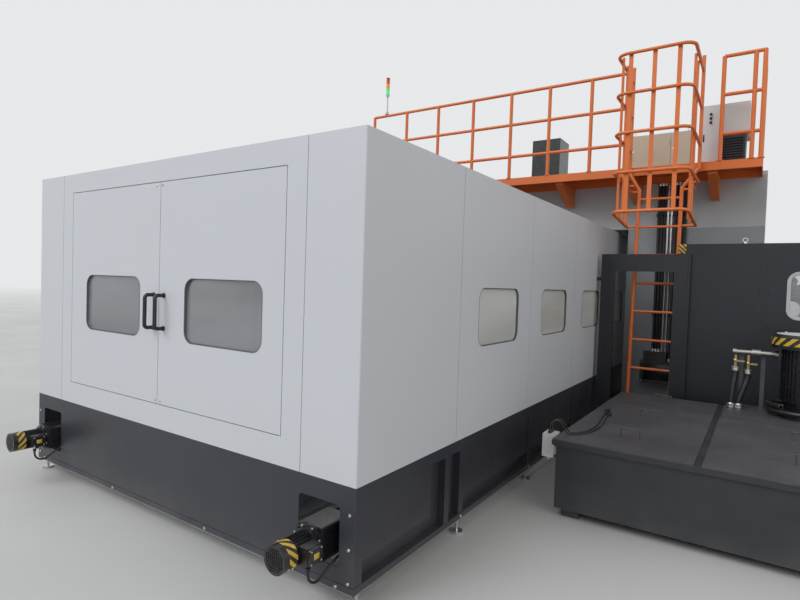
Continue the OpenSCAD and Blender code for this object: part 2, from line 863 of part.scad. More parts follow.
// One door leaf with its window opening and two hinge pins; side is 1 or -1
module leaf(side, window_x) {
    x0 = door_gap / 2;
    difference() {
        union() {
            block([side > 0 ? x0 : -x0 - leaf_w, end_y, door_low + door_gap],
                [side > 0 ? x0 + leaf_w : -x0, end_y + panel_t, door_high - door_gap]);
            translate([side * pin_x, pin_y, door_low - pin_l + 6])
                cylinder(h = door_high - door_low + 2 * (pin_l - 6), d = pin_d);
        }
        translate([side * window_x, 0, window_mid])
            facing_front(end_y - 1, panel_t + 2)
                rounded(window_w, window_h, window_r);
    }
}

module door_right() {
    color("#e8eaec")
        leaf(1, window_x_right);
}

module door_left() {
    color("#e8eaec")
        leaf(-1, window_x_left);
}

module door_pane(x) {
    color("#aab6c0", 0.6)
        translate([x, 0, window_mid])
            facing_front(end_y + panel_t / 2 - pane_t / 2, pane_t)
                rounded(window_w - 0.6, window_h - 0.6, window_r - 0.3);
}

module door_window_right() {
    door_pane(window_x_right);
}

module door_window_left() {
    door_pane(-window_x_left);
}

// C-shaped pull handle with two round feet
module pull_handle(x) {
    r = handle_d * 0.9;
    bar_y = end_y - handle_reach;
    translate([x, 0, handle_mid]) {
        for (s = [-1, 1]) {
            translate([0, bar_y + r, s * (handle_pitch / 2 - r)])
                rotate([0, 90, 0])
                    rotate([0, 0, s > 0 ? 180 : -90])
                        rotate_extrude(angle = 90)
                            translate([r, 0])
                                circle(d = handle_d, $fn = 32);
            translate([0, bar_y + r - touch, s * handle_pitch / 2])
                rotate([-90, 0, 0])
                    cylinder(h = handle_reach - r + touch, d = handle_d);
            translate([0, end_y - 6, s * handle_pitch / 2])
                rotate([-90, 0, 0])
                    cylinder(h = 6, d = handle_d + 8);
        }
        translate([0, bar_y, -handle_pitch / 2 + r - touch])
            cylinder(h = handle_pitch - 2 * r + 2 * touch, d = handle_d);
    }
}

module handle_right() {
    color("#141414")
        pull_handle(handle_inset);
}

module handle_left() {
    color("#141414")
        pull_handle(-handle_inset);
}

// Column castings with a stepped inner edge and cored outer pockets
module columns() {
    color("#8f9499")
        for (s = [-1, 1])
            mirror([s > 0 ? 0 : 1, 0, 0])
                difference() {
                    facing_side(column_x, column_out - column_x)
                        polygon([[bridge_rear, 0], [bridge_front + 120, 0], [bridge_front + 120, 260],
                            [bridge_front, 900], [bridge_front, beam_low], [bridge_rear, beam_low]]);
                    for (z = [260, 920, 1580])
                        translate([column_out, (bridge_rear + bridge_front) / 2, z + 260])
                            facing_side(-90, 91)
                                rounded(bridge_front - bridge_rear - 420, 520, 60);
                }
}

// Box-section crossbeam on the columns
module crossbeam() {
    color("#b4b8bb")
        facing_side(-column_out, 2 * column_out)
            polygon([[bridge_rear, beam_low], [bridge_front, beam_low], [bridge_front, beam_top],
                [bridge_rear + 100, beam_top], [bridge_rear, beam_top - 60]]);
}

// Two linear guides on the crossbeam's face
module crossbeam_guides() {
    color("silver")
        for (z = [beam_low + 60, beam_top - 120])
            block([-column_out + 160, bridge_front, z], [column_out - 160, bridge_front + 50, z + 60]);
}

// Saddle plate with its carriages and the ram's box guide
module saddle() {
    wrap = 70;
    clear = 0.3;
    color("#cfd2d4")
        difference() {
            union() {
                block([-saddle_w / 2, saddle_y, beam_low - 190], [saddle_w / 2, saddle_y + saddle_t - 20, beam_top + 240]);
                block([-ram_w / 2 - wrap, saddle_y + saddle_t - 21, beam_low - 250],
                    [ram_w / 2 + wrap, ram_y + ram_w / 2 + wrap, beam_top + 300]);
                for (x = [-1, 1], z = [beam_low + 60, beam_top - 120])
                    translate([x * (saddle_w / 2 - 130), 0, z])
                        block([-110, bridge_front + 12, -30], [110, saddle_y + touch, 90]);
            }
            block([-ram_w / 2 - clear, ram_y - ram_w / 2 - clear, beam_low - 300],
                [ram_w / 2 + clear, ram_y + ram_w / 2 + clear, beam_top + 400]);
            for (z = [beam_low + 60, beam_top - 120])
                block([-saddle_w, 0, z - 0.5], [saddle_w, bridge_front + 50.5, z + 60.5]);
        }
}

// Square ram with its spindle head
module ram() {
    color("#2b2d31")
        difference() {
            union() {
                block([-ram_w / 2, ram_y - ram_w / 2, ram_low], [ram_w / 2, ram_y + ram_w / 2, ram_low + ram_l]);
                translate([0, ram_y, ram_low - 90])
                    cylinder(h = 91, d1 = spindle_d + 110, d2 = ram_w - 20);
            }
            translate([0, ram_y, ram_low - 91])
                cylinder(h = 260, d = spindle_d + 0.1);
        }
}

// Spindle with its face keys and tapered bore
module spindle() {
    color("silver")
        translate([0, ram_y, ram_low - 130])
            difference() {
                union() {
                    cylinder(h = 290, d = spindle_d);
                    for (s = [-1, 1])
                        translate([s * 62 - 12, -14, -10])
                            cube([24, 28, 12]);
                }
                translate([0, 0, -1])
                    cylinder(h = 102, d1 = 70, d2 = 40);
            }
}

// Walkway deck with its channel edge beam
module platform() {
    color("#e8571c") {
        block([deck_left, deck_front, deck_z - 6], [deck_right, bridge_rear, deck_z]);
        difference() {
            block([deck_left, deck_front, deck_z - deck_beam], [deck_right, bridge_rear, deck_z - 6 + touch]);
            block([deck_left + 8, deck_front + 8, deck_z - deck_beam - 1], [deck_right - 8, bridge_rear - 8, deck_z]);
        }
    }
}

// Tapered gusset brackets between the bridge and the platform
module platform_brackets() {
    pitch = 825;
    drop = 240;
    low = deck_z - deck_beam;
    color("#c94a1a")
        for (k = [0:5])
            if (deck_right - 490 - k * pitch > deck_left)
                facing_side(deck_right - 490 - k * pitch, 90)
                    polygon([[bridge_rear, low - drop], [bridge_rear, low], [deck_front + 60, low],
                        [deck_front + 60, low - 30], [bridge_rear - 70, low - drop]]);
}

rail_posts = [-1812, -1230, -700, -157, 386, 892, 1400, 1796];
rail_gap_right = 2748;

// Three-rail railing along the platform's front and round its right end
module railing() {
    inset = rail_d / 2 + 2;
    right_x = deck_right - inset;
    y = deck_front + inset;
    heights = concat([rail_first, rail_second], [rail_top - rail_d / 2]);
    color("#ee5f1e") {
        for (x = concat(rail_posts, [rail_gap_right, right_x - 80, right_x]))
            translate([x, y, deck_z])
                cylinder(h = rail_top - rail_d / 2, d = rail_d);
        translate([right_x, bridge_rear - inset, deck_z])
            cylinder(h = rail_top - rail_d / 2, d = rail_d);
        for (h = heights) {
            bar([rail_posts[0], y, deck_z + h], [rail_posts[len(rail_posts) - 1], y, deck_z + h], rail_d * 0.9);
            bar([rail_gap_right, y, deck_z + h], [right_x, y, deck_z + h], rail_d * 0.9);
            bar([right_x, y, deck_z + h], [right_x, bridge_rear - inset, deck_z + h], rail_d * 0.9);
        }
    }
}

cage_x = ladder_x + 20;
flare_low = cage_low + hoop_pitch - 35;
flare_high = flare_low + 180;
flare_d = stile_d * 0.9;
function ladder_front(z) = ladder_y - ladder_lean * (1 - z / flare_low);

// Ladder with its side tubes flared out past the deck into grab rails
module ladder() {
    foot_z = 5;
    color("#e8571c") {
        for (s = [-1, 1]) {
            x = ladder_x + s * ladder_w / 2;
            x_out = cage_x + s * cage_w / 2;
            bar([x, ladder_front(foot_z), foot_z], [x, ladder_y, flare_low], stile_d);
            bar([x, ladder_y, flare_low - 20], [x_out, ladder_y, flare_high], flare_d);
            bar([x_out, ladder_y, flare_high - 12], [x_out, ladder_y, deck_z + rail_top], flare_d);
            translate([x, ladder_front(0), 0])
                cylinder(h = 10, d = stile_d + 14);
            block([x_out - 16, ladder_y, deck_z - 60], [x_out + 16, deck_front, deck_z - 50]);
        }
        for (k = [1:floor((flare_low - 187) / rung_pitch)])
            translate([0, ladder_front(k * rung_pitch + 127), k * rung_pitch + 127])
                bar([ladder_x - ladder_w / 2, 0, 0], [ladder_x + ladder_w / 2, 0, 0], rung_d);
    }
}

// One cage hoop: a flat front with round corners and straight sides back to the ladder
module hoop(reach) {
    r = 105;
    for (s = [0, 1])
        mirror([s, 0, 0]) {
            translate([-cage_w / 2 + r, -cage_depth + r, 0])
                bend(r, 180, 90, hoop_d);
            bar([-cage_w / 2, -cage_depth + r, 0], [-cage_w / 2, reach, 0], hoop_d);
        }
    bar([-cage_w / 2 + r, -cage_depth, 0], [cage_w / 2 - r, -cage_depth, 0], hoop_d);
}

// Safety cage: bent hoops, upright strips in front, upright tubes and stays at the sides
module ladder_cage() {
    hoops = 4;
    seat = 0.3;
    stay_d = hoop_d * 0.85;
    strip_w = 40;
    strip_t = 5;
    top_z = cage_low + hoops * hoop_pitch;
    cage_y = ladder_y - flare_d / 2 - seat;
    side_x = cage_w / 2 - hoop_d / 2 - stay_d / 2 - seat;
    side_tubes = [[-1, 0.82], [-1, 0.54], [-1, 0.29], [1, 0.54], [1, 0.29]];
    low_back = cage_low - hoop_drop;
    plane = flare_d / 2 + seat;
    past = stay_d / 2 + 1.5;
    low_y = ladder_front(low_back) - cage_y;
    stay_z = flare_low - 36;
    rise = flare_high - flare_low + 20;
    spread = (cage_low + hoop_pitch + stay_d / 2 - flare_low + 20) / rise;
    color("#ee5f1e")
        translate([cage_x, cage_y, 0]) {
            translate([0, -cage_depth, cage_low])
                rotate([-asin(hoop_drop / cage_depth), 0, 0])
                    translate([0, cage_depth, 0])
                        hoop(low_y + past);
            for (s = [-1, 1]) {
                x_side = s * cage_w / 2;
                x_stile = s * ladder_w / 2 + ladder_x - cage_x;
                x_in = x_stile + s * (stile_d / 2 + seat);
                slope = (x_side - x_stile) / rise;
                x_flare = x_stile + (x_side - x_stile) * spread + s * (flare_d / 2 * sqrt(1 + slope * slope) + seat);
                bar([x_side, low_y, low_back], [x_in, low_y, low_back], stay_d);
                bar([x_side, plane, cage_low + hoop_pitch], [x_flare, plane, cage_low + hoop_pitch], stay_d);
                bar([x_in, plane, stay_z], [s * (side_x + stay_d / 2 + 1), plane, stay_z], stay_d);
                bar([s * side_x, plane, stay_z], [s * side_x, -cage_depth * 0.29 + stay_d / 2 + seat, stay_z], stay_d * 0.9);
            }
            for (k = [1:hoops])
                translate([0, 0, cage_low + k * hoop_pitch])
                    hoop(k == 1 ? plane + past : 0);
            for (x = [-218, 0, 218])
                translate([x, -cage_depth + hoop_d / 2 + seat, 0])
                    block([-strip_w / 2, 0, cage_low - 16], [strip_w / 2, strip_t, top_z + 20]);
            for (p = side_tubes)
                translate([p[0] * side_x, -cage_depth * p[1], low_back + hoop_drop * p[1] - 22])
                    cylinder(h = top_z - low_back - hoop_drop * p[1] + 42, d = stay_d);
        }
}

hoses_x = 2105;
hoses_y = bridge_rear - 24;
hoses_low = 760;

// Upright hoses from the junction box to the platform, in three clamps
module hose_bundle() {
    right = hoses_x + 320;
    color("#1a1b1d") {
        for (h = [[0, 32], [34, 32], [66, 26], [180, 32], [214, 26], [250, 26], [285, 32]])
            translate([hoses_x + h[0], hoses_y, hoses_low])
                cylinder(h = deck_z - deck_beam - hoses_low - 0.3, d = h[1]);
        block([hoses_x - 120, bridge_rear - 120, 500], [right, bridge_rear, hoses_low + 2]);
        block([hoses_x - 90, bridge_rear - 100, hoses_low + 1], [right - 160, bridge_rear, hoses_low + 110]);
        for (z = [1300, 1900, 2500])
            block([hoses_x - 30, bridge_rear - 12, z], [right, bridge_rear, z + 40]);
    }
}

// Steel conduits that rise between the hoses
module conduits() {
    color("silver")
        for (x = [99, 138])
            translate([hoses_x + x, hoses_y, hoses_low + 110.3])
                cylinder(h = deck_z - deck_beam - hoses_low - 110.6, d = 23);
}

cabinet_w = 690;
// Control cabinet on the crossbeam, with three flush doors
module control_cabinet() {
    x0 = half_w + 70;
    color("#b9b79f") {
        difference() {
            block([x0, bridge_rear + 200, beam_top], [x0 + cabinet_w, bridge_rear + 560, beam_top + 570]);
            for (k = [1, 2])
                block([x0 + k * cabinet_w / 3 - 2, bridge_rear + 199, beam_top + 30],
                    [x0 + k * cabinet_w / 3 + 2, bridge_rear + 206, beam_top + 550]);
        }
        for (k = [0:2])
            block([x0 + k * cabinet_w / 3 + 24, bridge_rear + 194, beam_top + 250],
                [x0 + k * cabinet_w / 3 + 36, bridge_rear + 200 + touch, beam_top + 340]);
    }
}

// Narrow drive cabinet on the deck, with three lamps in its door
module drive_cabinet() {
    color("#e6e7e7") {
        difference() {
            block([2545, bridge_rear - 300, deck_z], [2730, bridge_rear, deck_z + 680]);
            block([2553, bridge_rear - 301, deck_z + 60], [2722, bridge_rear - 298, deck_z + 64]);
        }
        for (k = [0:2])
            translate([2625, bridge_rear - 300 + touch, deck_z + 490 + k * 46])
                rotate([90, 0, 0])
                    cylinder(h = 10, d = 26);
    }
}

chiller_x = 2745;
chiller_y = bridge_rear - 420;
chiller_h = 305;

// Finned radiator of the spindle chiller
module chiller() {
    color("#2a2c30")
        difference() {
            block([chiller_x, chiller_y, deck_z], [chiller_x + 222, bridge_rear - 40, deck_z + chiller_h]);
            for (k = [0:8])
                block([chiller_x + 16, chiller_y - 1, deck_z + 30 + k * 28],
                    [chiller_x + 200, chiller_y + 24, deck_z + 44 + k * 28]);
        }
}

// Control box on the chiller, with a door seam
module chiller_box() {
    color("#e6e7e7")
        difference() {
            block([chiller_x, chiller_y + 10, deck_z + chiller_h], [chiller_x + 250, bridge_rear - 40, deck_z + 645]);
            block([chiller_x + 14, chiller_y + 9, deck_z + chiller_h + 20],
                [chiller_x + 18, chiller_y + 13, deck_z + 625]);
        }
}

lamp_x = -1590;
lamp_y = deck_front + rail_d / 2 + 2;
lamp_z = deck_z + rail_top;
lamp_h = 82;
lamp_pole_h = 255;

// Lamp foot, ball joint and pole
module lamp_pole() {
    color("whitesmoke")
        translate([lamp_x, lamp_y, lamp_z]) {
            translate([0, 0, -rail_d * 0.05])
                cylinder(h = 22, d = 60);
            translate([0, 0, 34])
                sphere(d = 44);
            cylinder(h = lamp_pole_h, d = 20);
            translate([0, 0, lamp_pole_h - touch])
                cylinder(h = 36, d1 = 34, d2 = 58);
        }
}

module lamp_tier(k) {
    translate([lamp_x, lamp_y, lamp_z + lamp_pole_h + 36 + k * (lamp_h + 0.3)])
        rotate_extrude()
            polygon([[0, 0], [28, 0], [28, 8], [25, 12], [25, lamp_h - 6], [28, lamp_h], [0, lamp_h]]);
}

module lamp_green() {
    color("limegreen")
        lamp_tier(0);
}

module lamp_amber() {
    color("orange")
        lamp_tier(1);
}

module lamp_red() {
    color("red")
        lamp_tier(2);
}

window_panel_x0 = half_w + 1580;
window_panel_x1 = half_w + 2640;
window_panel_z = [1272, 1968];
window_panel_hole = [340, 442, 90];

// Sheet-metal housing of the tool magazine, open towards the bridge
module magazine_housing() {
    t = 8;
    color("#2f3138") {
        difference() {
            block([house_left, house_y, 60], [house_right, house_y + house_depth, house_top]);
            block([house_left + t, house_y + t, 59], [house_right - t, house_y + house_depth + 1, house_top - t]);
            block([window_panel_x0 + 30, house_y - 1, window_panel_z[0] + 30],
                [window_panel_x1 - 30, house_y + t + 1, window_panel_z[1] - 30]);
            for (x = [3160, window_panel_x1 + 60])
                block([x, house_y - 1, 60], [x + 4, house_y + 3, house_top + 1]);
        }
        for (x = [[house_left, house_left + 50], [house_right - 50, house_right]])
            block([x[0], bridge_rear - 4, 60], [x[1], bridge_rear, house_top]);
        for (x = [house_left + 4, house_right - 104], y = [house_y + 4, house_y + house_depth - 104])
            block([x, y, 0], [x + 100, y + 100, 62]);
        block([column_out - 200, house_y + 500, 0], [disc_x + 150, house_y + house_depth, 40]);
        block([disc_x - 110, house_y + 560, 39], [disc_x + 110, house_y + house_depth - 40, disc_z + 110]);
        translate([disc_x, house_y + 440, disc_z])
            rotate([-90, 0, 0])
                cylinder(h = 121, d = 180);
    }
}

// A figure drawn about the middle of the magazine window
module at_magazine_window() {
    translate([(window_panel_x0 + window_panel_x1) / 2, 0, (window_panel_z[0] + window_panel_z[1]) / 2 - 20])
        children();
}

// Screwed window panel of the magazine housing
module magazine_window() {
    w = window_panel_x1 - window_panel_x0;
    h = window_panel_z[1] - window_panel_z[0];
    color("#3a3d45") {
        difference() {
            block([window_panel_x0, house_y - 4, window_panel_z[0]], [window_panel_x1, house_y, window_panel_z[1]]);
            at_magazine_window()
                facing_front(house_y - 5, 6)
                    rounded(w - window_panel_hole[0], window_panel_hole[1], window_panel_hole[2]);
        }
        for (s = [-1, 1], k = [-1, 0, 1])
            translate([(window_panel_x0 + window_panel_x1) / 2 + s * (w / 2 - 26), house_y - 4 + touch,
                    (window_panel_z[0] + window_panel_z[1]) / 2 + k * (h / 2 - 22)])
                rotate([90, 0, 0])
                    screw_head();
    }
}

// Clear pane behind the window panel
module magazine_pane() {
    w = window_panel_x1 - window_panel_x0;
    color("#c8c4b0", 0.5)
        at_magazine_window()
            facing_front(house_y, 5)
                rounded(w - window_panel_hole[0] + 40, window_panel_hole[1] + 40, window_panel_hole[2] + 10);
}

// Disc magazine with its pocket forks and tool holders
module tool_magazine() {
    grip = disc_r - 30;
    color("silver")
        translate([disc_x, disc_y, disc_z]) {
            translate([0, 50, 0])
                rotate([90, 0, 0]) {
                    difference() {
                        cylinder(h = 30, r = disc_r - 70);
                        for (k = [0:5])
                            rotate([0, 0, k * 60])
                                translate([disc_r * 0.48, 0, -1])
                                    cylinder(h = 32, r = disc_r * 0.15);
                    }
                    cylinder(h = 60, d = 200);
                }
            translate([0, 49, 0])
                rotate([-90, 0, 0])
                    cylinder(h = house_y + 440 - disc_y - 49 - 0.3, d = 90);
            for (k = [0:pocket_count - 1])
                rotate([0, k * 360 / pocket_count, 0])
                    translate([0, 0, grip - 60]) {
                        translate([-24, 24, -30])
                            cube([48, 22, 72]);
                        translate([0, 21, 60])
                            rotate([90, 0, 0])
                                rotate_extrude($fn = 24)
                                    polygon([[0, -40], [22, -40], [32, 20], [46, 20], [46, 32],
                                        [40, 36], [46, 40], [46, 52], [26, 52], [20, 150], [0, 150]]);
                    }
        }
}

// Fixed gate frame between the enclosure and the magazine housing
module gate_frame() {
    x1 = gate_x + gate_w;
    rear = gate_rear;
    color("#26282e") {
        difference() {
            block([gate_x, gate_y, 0], [x1, rear, gate_top]);
            block([gate_x + jamb_w, gate_y - 1, -1], [x1 - jamb_w - 4, rear + 1, gate_top - gate_head]);
            for (x = [gate_x + jamb_w * 0.58, x1 - 24])
                block([x, gate_y - 1, 60], [x + 4, gate_y + 4, gate_top - 12]);
            block([gate_x + jamb_w * 0.58, gate_y - 1, gate_top - 12], [x1 - 20, gate_y + 4, gate_top - 8]);
        }
        for (z = [300, 1700])
            block([half_w, gate_y + 8, z], [gate_x + touch, rear - 8, z + 40]);
        for (x = [gate_x + 4, x1 - jamb_w])
            block([x, gate_y - 60, 0], [x + jamb_w - 8, gate_y + touch, 10]);
    }
}

split_x = tank_left + 873;
split_y = tank_rear - 660;
lid_t = 8;
lid_top = tank_top + lid_t;

// Open coolant tank with a folded rim and bars under the lids' seams
module coolant_tank() {
    color("#3b3e44") {
        difference() {
            union() {
                block([tank_left, tank_front, 60], [tank_right, tank_rear, tank_top]);
                block([tank_left - 24, tank_front - 24, tank_top - 36], [tank_right + 24, tank_rear + 24, tank_top]);
            }
            block([tank_left + tank_t, tank_front + tank_t, 60 + tank_t], [tank_right - tank_t, tank_rear - tank_t, tank_top + 1]);
        }
        for (x = [tank_left + 40, tank_right - 160], y = [tank_front + 40, (tank_front + tank_rear) / 2, tank_rear - 160])
            block([x, y, 0], [x + 120, y + 120, 61]);
        block([tank_left + tank_t - touch, split_y - 20, tank_top - 40], [tank_right - tank_t + touch, split_y + 20, tank_top]);
        block([split_x - 45, tank_front + tank_t - touch, tank_top - 40], [split_x + 45, tank_rear - tank_t + touch, tank_top]);
    }
}

// Loose lids with D-handles, resting on the tank's rim; one carries the pump and the manifold
module tank_lids() {
    gap_x = 22;
    handle_h = 64;
    edge_t = 42;
    lids = [[tank_left - 20, tank_front - 20, split_x - gap_x, split_y - 3, [0.25, 0.75]],
        [tank_left - 20, split_y + 3, split_x - gap_x, tank_rear + 20, [0.57]],
        [split_x + gap_x, tank_front - 20, tank_right + 20, split_y - 3, [0.28, 0.72]]];
    color("#2e3136") {
        for (p = lids) {
            block([p[0], p[1], tank_top], [p[2], p[3], lid_top]);
            for (y = p[4])
                translate([(p[0] + p[2]) / 2, p[1] + (p[3] - p[1]) * y, lid_top - touch]) {
                    for (s = [-1, 1])
                        translate([s * 64, 0, 0])
                            cylinder(h = handle_h, d = 10);
                    bar([-70, 0, handle_h], [70, 0, handle_h], 10);
                }
        }
        difference() {
            union() {
                block([split_x + gap_x, split_y + 3, tank_top], [tank_right + 20, tank_rear + 20, lid_top]);
                block([split_x + gap_x + 20, split_y + 30, lid_top - touch], [tank_right - 20, tank_rear - 10, tank_top + edge_t]);
                for (x = [manifold_x + 60, manifold_x + 222])
                    block([x - 16, manifold_y + manifold_d / 2 + 0.3, tank_top + edge_t - touch],
                        [x + 16, manifold_y + manifold_d / 2 + 8, manifold_z + 10]);
            }
            translate([pump_x, pump_y, tank_top - 1])
                cylinder(h = edge_t + 2, d = 260);
        }
    }
}

pump_x = tank_right - 470;
pump_y = tank_rear - 280;
pump_low = tank_top + 42.3;
pump_r = 176;
manifold_x = 2998;
manifold_y = pump_y + 60;
manifold_z = 1086;
manifold_d = 42;

// Vertical immersion pump: suction pipe, bolted flange, finned motor and fan cowl
module coolant_pump() {
    neck_h = 130;
    body_low = pump_low + neck_h;
    body_h = 448;
    color("#17181a")
        translate([pump_x, pump_y, 0]) {
            translate([0, 0, 130])
                cylinder(h = pump_low - 129, d = 220);
            translate([0, 0, pump_low]) {
                cylinder(h = 26, r = pump_r + 24);
                for (k = [0:11])
                    rotate([0, 0, k * 30])
                        translate([pump_r + 4, 0, 25])
                            cylinder(h = 16, d = 24, $fn = 6);
                cylinder(h = neck_h + 1, r = pump_r - 26);
            }
            translate([0, 0, body_low])
                linear_extrude(height = body_h)
                    union() {
                        circle(r = pump_r);
                        for (k = [0:35])
                            rotate([0, 0, k * 10])
                                translate([pump_r - 4, -2])
                                    square([16, 4]);
                    }
            translate([-pump_r - 26, 28, manifold_z - 36])
                cube([60, 64, 72]);
            translate([0, 0, body_low + body_h - 1])
                cylinder(h = 96, r = pump_r + 82);
            translate([0, 0, body_low + body_h + 94])
                cylinder(h = 22, r1 = pump_r + 76, r2 = pump_r + 60);
        }
}

// Galvanised delivery pipe from the pump, with its union and end cap
module manifold() {
    x1 = pump_x - pump_r - 26.3;
    color("silver")
        translate([0, manifold_y, manifold_z]) {
            bar([manifold_x, 0, 0], [x1, 0, 0], manifold_d);
            bar([manifold_x - 8, 0, 0], [manifold_x + 22, 0, 0], manifold_d + 12);
            bar([manifold_x + 134, 0, 0], [manifold_x + 200, 0, 0], manifold_d + 20);
            bar([x1 - 24, 0, 0], [x1, 0, 0], manifold_d + 26);
        }
}

valve_x = [16, 113];
valve_h = 104;

// Two brass ball valves under the pipe, with their levers and hose tails
module manifold_valves() {
    color("#8a6f3a")
        for (k = [0, 1])
            translate([manifold_x + valve_x[k], manifold_y, manifold_z - manifold_d / 2 - 6.3 - k * 18]) {
                translate([0, 0, -34])
                    cylinder(h = 34 + k * 24, d = 34, $fn = 6);
                translate([0, 0, -52])
                    sphere(d = 46, $fn = 24);
                translate([0, 0, -valve_h])
                    cylinder(h = 38, d = 38, $fn = 6);
                translate([0, -34, -52])
                    rotate([-90, 0, 0])
                        cylinder(h = 20, d = 14);
                translate([-8, -40, -60])
                    cube([76, 7, 16]);
            }
}

// Black hoses from the valves down to the lid, and a coil laid round the pump's foot
module coolant_hoses() {
    hose_d = 46;
    coil_d = 40;
    coil_r = pump_r + 24 + coil_d / 2 + 45;
    coil_z = tank_top + 42.8 + coil_d / 2;
    turn_steps = 14;
    color("#141414") {
        for (k = [0, 1])
            let (x = manifold_x + valve_x[k], z = manifold_z - manifold_d / 2 - 7 - k * 18 - valve_h,
                x1 = x - 20 - k * 38, y1 = manifold_y - 36, low = tank_top + 42.3)
                hose([[x, manifold_y, z], [x, manifold_y, z - 35], [x, manifold_y, z - 70],
                    [x - 12 - k * 18, manifold_y - 20, z - 180], [x1, y1, low + 70], [x1, y1, low + 36], [x1, y1, low + 1]],
                    hose_d, [1, 0, 0], 3);
        translate([pump_x, pump_y, coil_z])
            hose([for (i = [0:turn_steps * 1.8]) let (a = -60 + 360 * i / turn_steps)
                [coil_r * cos(a), coil_r * sin(a), (coil_d + 3) * i / turn_steps]], coil_d, [0, 0, 1], 2);
    }
}

// Level switch box with two glands on the tank's side
module float_box() {
    color("#e2e2de") {
        block([tank_left - 110, tank_front + 30, 395], [tank_left - 24.3, tank_front + 150, 560]);
        for (k = [0, 1])
            translate([tank_left - 70, tank_front + 62 + k * 54, 372])
                cylinder(h = 24, d = 26, $fn = 6);
        block([tank_left - 26, tank_front + 40, 420], [tank_left, tank_front + 140, 480]);
    }
}

bed();
table_guides();
table_screw();
table();
conveyor_troughs();
auger_right();
auger_left();
gearmotors();
fan_covers();
motor_cables();
skirt_frame();
end_skirts();
side_skirt_panels();
levelling_feet();
skirt_screws();
corner_panels();
front_surround();
rear_wall();
wall_panels();
wall_windows();
enclosure_frame();
door_right();
door_left();
door_window_right();
door_window_left();
handle_right();
handle_left();
columns();
crossbeam();
crossbeam_guides();
saddle();
ram();
spindle();
platform();
platform_brackets();
railing();
ladder();
ladder_cage();
hose_bundle();
conduits();
control_cabinet();
drive_cabinet();
chiller();
chiller_box();
lamp_pole();
lamp_red();
lamp_amber();
lamp_green();
magazine_housing();
magazine_window();
magazine_pane();
tool_magazine();
gate_frame();
coolant_tank();
tank_lids();
coolant_pump();
manifold();
manifold_valves();
float_box();
coolant_hoses();
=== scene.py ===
import json
import math

import bmesh
import bpy
from mathutils import Matrix, Vector


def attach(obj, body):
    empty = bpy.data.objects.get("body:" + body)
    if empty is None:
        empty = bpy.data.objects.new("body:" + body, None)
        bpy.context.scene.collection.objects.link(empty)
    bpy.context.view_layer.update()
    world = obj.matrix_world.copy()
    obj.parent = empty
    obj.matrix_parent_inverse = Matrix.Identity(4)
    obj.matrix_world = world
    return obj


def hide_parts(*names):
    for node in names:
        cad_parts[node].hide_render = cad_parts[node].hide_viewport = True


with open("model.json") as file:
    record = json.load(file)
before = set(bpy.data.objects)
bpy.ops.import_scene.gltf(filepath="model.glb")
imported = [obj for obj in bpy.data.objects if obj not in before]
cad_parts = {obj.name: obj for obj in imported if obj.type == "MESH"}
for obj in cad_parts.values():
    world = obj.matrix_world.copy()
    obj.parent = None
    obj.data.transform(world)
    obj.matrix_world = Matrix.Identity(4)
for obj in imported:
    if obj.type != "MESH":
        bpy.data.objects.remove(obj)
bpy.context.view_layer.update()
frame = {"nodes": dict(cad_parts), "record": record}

nodes = frame["nodes"]
record = frame["record"]
print("frame loaded:", len(nodes), "nodes")


# helpers for materials

def addNode(material, kind, inputs=None, **settings):
    made = material.node_tree.nodes.new(kind)
    for key, value in settings.items():
        setattr(made, key, value)
    for key, value in (inputs or {}).items():
        if isinstance(value, bpy.types.NodeSocket):
            material.node_tree.links.new(value, made.inputs[key])
        else:
            made.inputs[key].default_value = value
    return made


def newMaterial(name):
    material = bpy.data.materials.new(name)
    material.use_nodes = True
    return material, material.node_tree.nodes["Principled BSDF"]


def connect(material, output, socket):
    material.node_tree.links.new(output, socket)


def objectPlace(material, scale=(1, 1, 1)):
    place = addNode(material, "ShaderNodeTexCoord").outputs["Object"]
    return addNode(material, "ShaderNodeMapping", {"Vector": place, "Scale": scale}).outputs["Vector"]


def noise(material, place, scale, detail=3.0):
    return addNode(material, "ShaderNodeTexNoise", {
        "Vector": place, "Scale": scale, "Detail": detail, "Roughness": 0.55}).outputs["Fac"]


def spread(material, value, low, high, toLow, toHigh):
    return addNode(material, "ShaderNodeMapRange", {
        "Value": value, "From Min": low, "From Max": high,
        "To Min": toLow, "To Max": toHigh}).outputs["Result"]


def multiply(material, one, two):
    return addNode(material, "ShaderNodeMath", {0: one, 1: two}, operation="MULTIPLY").outputs["Value"]


def blendColour(material, amount, below, above):
    # sockets 6 and 7 of a colour Mix node are its A and B, output 2 is its result
    return addNode(material, "ShaderNodeMix", {0: amount, 6: below, 7: above}, data_type="RGBA").outputs[2]


def shaded(material, place, colour, amount, scale):
    value = spread(material, noise(material, place, scale, 4.0), 0.3, 0.7, 1 - amount, 1 + amount)
    return addNode(material, "ShaderNodeHueSaturation", {"Value": value, "Color": colour}).outputs["Color"]


def bump(material, shader, height, strength, distance):
    made = addNode(material, "ShaderNodeBump", {"Height": height, "Strength": strength, "Distance": distance})
    connect(material, made.outputs["Normal"], shader.inputs["Normal"])


def edgeMask(material, place, width, patchScale):
    # where the rounded normal leaves the true one there is an edge, and a noise breaks the wear up
    rounded = addNode(material, "ShaderNodeBevel", {"Radius": width}, samples=4).outputs["Normal"]
    true = addNode(material, "ShaderNodeNewGeometry").outputs["Normal"]
    likeness = addNode(material, "ShaderNodeVectorMath", {0: rounded, 1: true},
                       operation="DOT_PRODUCT").outputs["Value"]
    edge = spread(material, likeness, 0.998, 0.93, 0.0, 1.0)
    chips = spread(material, noise(material, place, patchScale, 5.0), 0.48, 0.62, 0.0, 1.0)
    return multiply(material, edge, chips)


